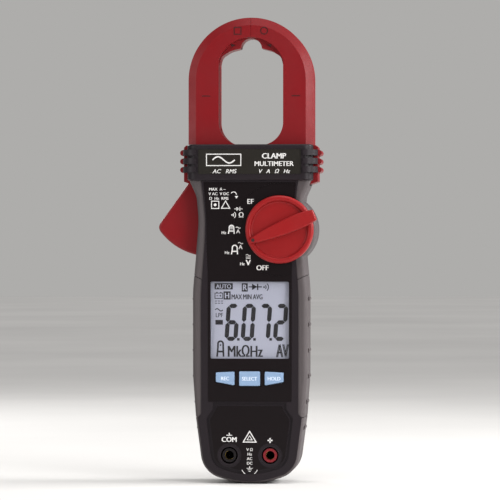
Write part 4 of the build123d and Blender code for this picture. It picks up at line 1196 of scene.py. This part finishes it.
@dataclass
class Dial:
    """Rotary knob and the switch behind it."""

    frame: Frame

    def build(self) -> None:
        """Dress the dial."""
        self.frame.dress(Finish.KNOB_ABS, "rotary_knob")
        self.frame.dress(Finish.POINTER_PAINT, "pointer_dot")
        self.frame.dress(Finish.NATURAL_PA, "switch_rotor")
        self.frame.dress(Finish.BRASS, "switch_wipers")


@dataclass
class Keys:
    """Three push buttons with their printed legends."""

    frame: Frame
    legend_height: float = 1.7

    def build(self) -> None:
        """Dress and print the buttons."""
        self.frame.dress(Finish.BLUE_PC, "left_button", "centre_button", "right_button")
        self.frame.dress(Finish.SILICONE, "keypad_mat")
        legends = {
            "left": ("REC", "left_key"),
            "centre": ("SELECT", "centre_key"),
            "right": ("HOLD", "right_key"),
        }
        for word, (legend, body) in legends.items():
            low, high = self.frame.box(f"{word}_button")
            art = Artwork(f"{word}_button_legend", low.y)
            middle = (low.z + high.z) / 2
            art.text(legend, (low.x + high.x) / 2, middle, self.legend_height, 0.03, stretch=0.9)
            art.finish(body, Finish.PALE_INK, "button_plastic")


@dataclass
class Sockets:
    """Input sockets, their contacts, and the film and signs on the shield round them."""

    frame: Frame
    row_pitch: float = 2.1
    bar_pitch: float = 0.7

    def build(self) -> None:
        """Dress the sockets, lay the film on the shield and print it."""
        self.frame.dress(Finish.BLACK_PA, "com_socket_post")
        self.frame.dress(Finish.RED_PA, "input_socket_post")
        for word in ("com", "input"):
            self.frame.dress(Finish.BRASS, f"{word}_socket_contact", f"{word}_socket_strap")
        panel_foot = self.frame.box("front_panel")[0].z
        face_y, faces = self.frame.island("front_shell", panel_foot)
        film = Artwork("shield_film", face_y)
        film.skin(faces)
        film.finish("casing", Finish.PANEL_FILM, "panel_film")
        art = Artwork("shield_print", face_y - film.proud)
        x, level = self.centre("com_socket_post")
        art.text("COM", x, level + 7.4, 2.3, 0.05, stretch=0.95)
        art.block(x - 1.35, x + 1.35, level + 9.15, level + 9.5)
        art.block(x - 0.25, x + 0.25, level + 9.45, level + 10.4)
        x, z = self.centre("input_socket_post")
        art.block(x - 1.15, x + 1.15, z + 6.7, z + 7.3)
        art.block(x - 0.3, x + 0.3, z + 5.85, z + 8.15)
        self.print_middle(art, level)
        art.finish("casing", Finish.WHITE_INK, "panel_film")

    def centre(self, name: str) -> Point:
        """Centre (x, z) of a node's box, in mm."""
        low, high = self.frame.box(name)
        return (low.x + high.x) / 2, (low.z + high.z) / 2

    def print_middle(self, art: Artwork, level: float) -> None:
        """Print nested plain triangles, generic units and an earth sign between the sockets.

        Args:
            art: Layer that takes them.
            level: Height of the sockets' axes, in mm.
        """
        foot = level + 6.2
        art.stroke([(-3.0, foot), (3.0, foot), (0.0, foot + 5.0)], 0.45, closed=True)
        art.stroke([(-1.2, foot + 1.0), (1.2, foot + 1.0), (0.0, foot + 2.9)], 0.3, closed=True)
        for row, words in enumerate(("V Ω", "Hz", "AC", "DC")):
            art.text(words, 0.0, level + 2.7 - row * self.row_pitch, 1.3, 0.03)
        art.stroke(arc(0.0, level - 5.4, 3.8, 200, 235, 4), 0.3)
        art.stroke(arc(0.0, level - 5.4, 3.8, 305, 340, 4), 0.3)
        z = level - 6.0
        art.block(-0.2, 0.2, z, z + 0.9)
        for row, half in enumerate((1.4, 0.95, 0.45)):
            bar = z - row * self.bar_pitch
            art.block(-half, half, bar - 0.13, bar + 0.13)


@dataclass
class Inside:
    """Board, soldered parts and batteries, seen only when the casing is opened."""

    frame: Frame

    def build(self) -> None:
        """Dress what is inside."""
        self.frame.dress(Finish.SOLDER_MASK, "main_board")
        self.frame.dress(Finish.EPOXY, "control_chip", "buzzer")
        self.frame.dress(Finish.VARNISH, "input_thermistor", "input_varistor")
        self.frame.dress(Finish.JACKET, "battery_left", "battery_right")
        self.frame.dress(
            Finish.ZINC_STEEL,
            "positive_contact",
            "negative_contact",
            "bridge_contact",
            "battery_springs",
        )


# ------------------------------------------------------------------ studio
@dataclass(frozen=True)
class SoftBox:
    """Square area light aimed at the meter: place and size in mm, power in watts."""

    name: str
    place: Place
    size: float
    power: float


@dataclass
class Studio:
    """Pale floor, soft lights and the camera."""

    boxes: tuple[SoftBox, ...] = (
        SoftBox("key", (700, -640, 160), 420, 5.6),
        SoftBox("fill", (-760, -700, 100), 520, 2.6),
        SoftBox("right_edge", (600, 60, 200), 300, 5.6),
        SoftBox("back_left", (-480, 560, 300), 420, 3.0),
    )
    sky_power: float = 1.7
    sky_spread: float = 50.0
    sky_tilt: float = 20.0
    sky_turn: float = 15.0
    floor_colour: str = "C8C6C4"
    floor_tone: str = "E4E2DF"
    floor_radius: float = 6000.0
    floor_gap: float = 0.2
    backdrop: str = "AEADAB"
    ambient: float = 0.18
    camera_turn: float = 4.6
    camera_distance: float = 1500.0
    view_width: float = 234.5
    view_centre_x: float = -1.0
    view_centre_z: float = -93.9

    def build(self) -> None:
        """Set up the floor, world, lights and camera."""
        self.floor()
        self.world()
        self.lights()
        self.camera()
        bpy.context.scene.view_settings.view_transform = "Standard"

    def floor(self) -> None:
        """A large round floor just under the meter."""
        low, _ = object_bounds()
        mesh = bmesh.new()
        bmesh.ops.create_circle(mesh, cap_ends=True, segments=96, radius=self.floor_radius * MM)
        data = bpy.data.meshes.new("floor")
        mesh.to_mesh(data)
        mesh.free()
        floor = bpy.data.objects.new("floor", data)
        floor.location.z = low.z - self.floor_gap * MM
        bpy.context.collection.objects.link(floor)
        paper = Moulded("studio_paper", self.floor_colour, self.floor_tone, 0.8, grain_mm=3.0,
                        grain_depth_mm=0.01, drift_mm=400.0, gloss_swing=0.02)
        data.materials.append(paper.build())
        floor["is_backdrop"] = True

    def world(self) -> None:
        """Dim even surroundings that show as a pale backdrop."""
        world = bpy.data.worlds.new("studio")
        world.use_nodes = True
        tree = world.node_tree
        tree.nodes.clear()
        lit = add_node(
            tree, "ShaderNodeBackground", {"Color": linear("F4F3F2"), "Strength": self.ambient}
        )
        seen = add_node(tree, "ShaderNodeBackground", {"Color": linear(self.backdrop)})
        path = add_node(tree, "ShaderNodeLightPath")
        both = add_node(
            tree,
            "ShaderNodeMixShader",
            None,
            {
                0: path.outputs["Is Camera Ray"],
                1: lit.outputs["Background"],
                2: seen.outputs["Background"],
            },
        )
        add_node(tree, "ShaderNodeOutputWorld", None, {"Surface": both.outputs["Shader"]})
        bpy.context.scene.world = world

    def lights(self) -> None:
        """Large soft boxes to the right, left and behind, and an even sky."""
        aim = Vector((0, 0, self.view_centre_z)) * MM
        for box in self.boxes:
            light = bpy.data.lights.new(box.name, "AREA")
            light.size = box.size * MM
            light.energy = box.power
            holder = bpy.data.objects.new(box.name, light)
            holder.location = Vector(box.place) * MM
            holder.rotation_euler = (aim - holder.location).to_track_quat("-Z", "Y").to_euler()
            bpy.context.collection.objects.link(holder)
        sky = bpy.data.lights.new("sky", "SUN")
        sky.energy = self.sky_power
        sky.angle = math.radians(self.sky_spread)
        holder = bpy.data.objects.new("sky", sky)
        holder.rotation_euler = (math.radians(self.sky_tilt), 0.0, math.radians(self.sky_turn))
        bpy.context.collection.objects.link(holder)

    def camera(self) -> None:
        """Long lens, level with the meter's middle and a little to its right."""
        data = bpy.data.cameras.new("camera")
        data.sensor_width = 36.0
        data.lens = data.sensor_width * self.camera_distance / self.view_width
        data.clip_end = 50.0
        holder = bpy.data.objects.new("camera", data)
        turn = math.radians(self.camera_turn)
        away = Vector((math.sin(turn), -math.cos(turn), 0.0))
        aim = Vector((self.view_centre_x, 0.0, self.view_centre_z))
        holder.location = (aim + away * self.camera_distance) * MM
        holder.rotation_euler = (-away).to_track_quat("-Z", "Y").to_euler()
        bpy.context.collection.objects.link(holder)
        bpy.context.scene.camera = holder


def main() -> None:
    """Load the frame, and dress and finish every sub-assembly."""
    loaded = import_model()
    frame = Frame(loaded)
    for assembly in (Jaws, Casing, DialPanel, Display, Dial, Keys, Sockets, Inside):
        assembly(frame).build()
        LOG.info("%s done", assembly.__name__)
    Studio().build()


if __name__ == "__main__":
    main()
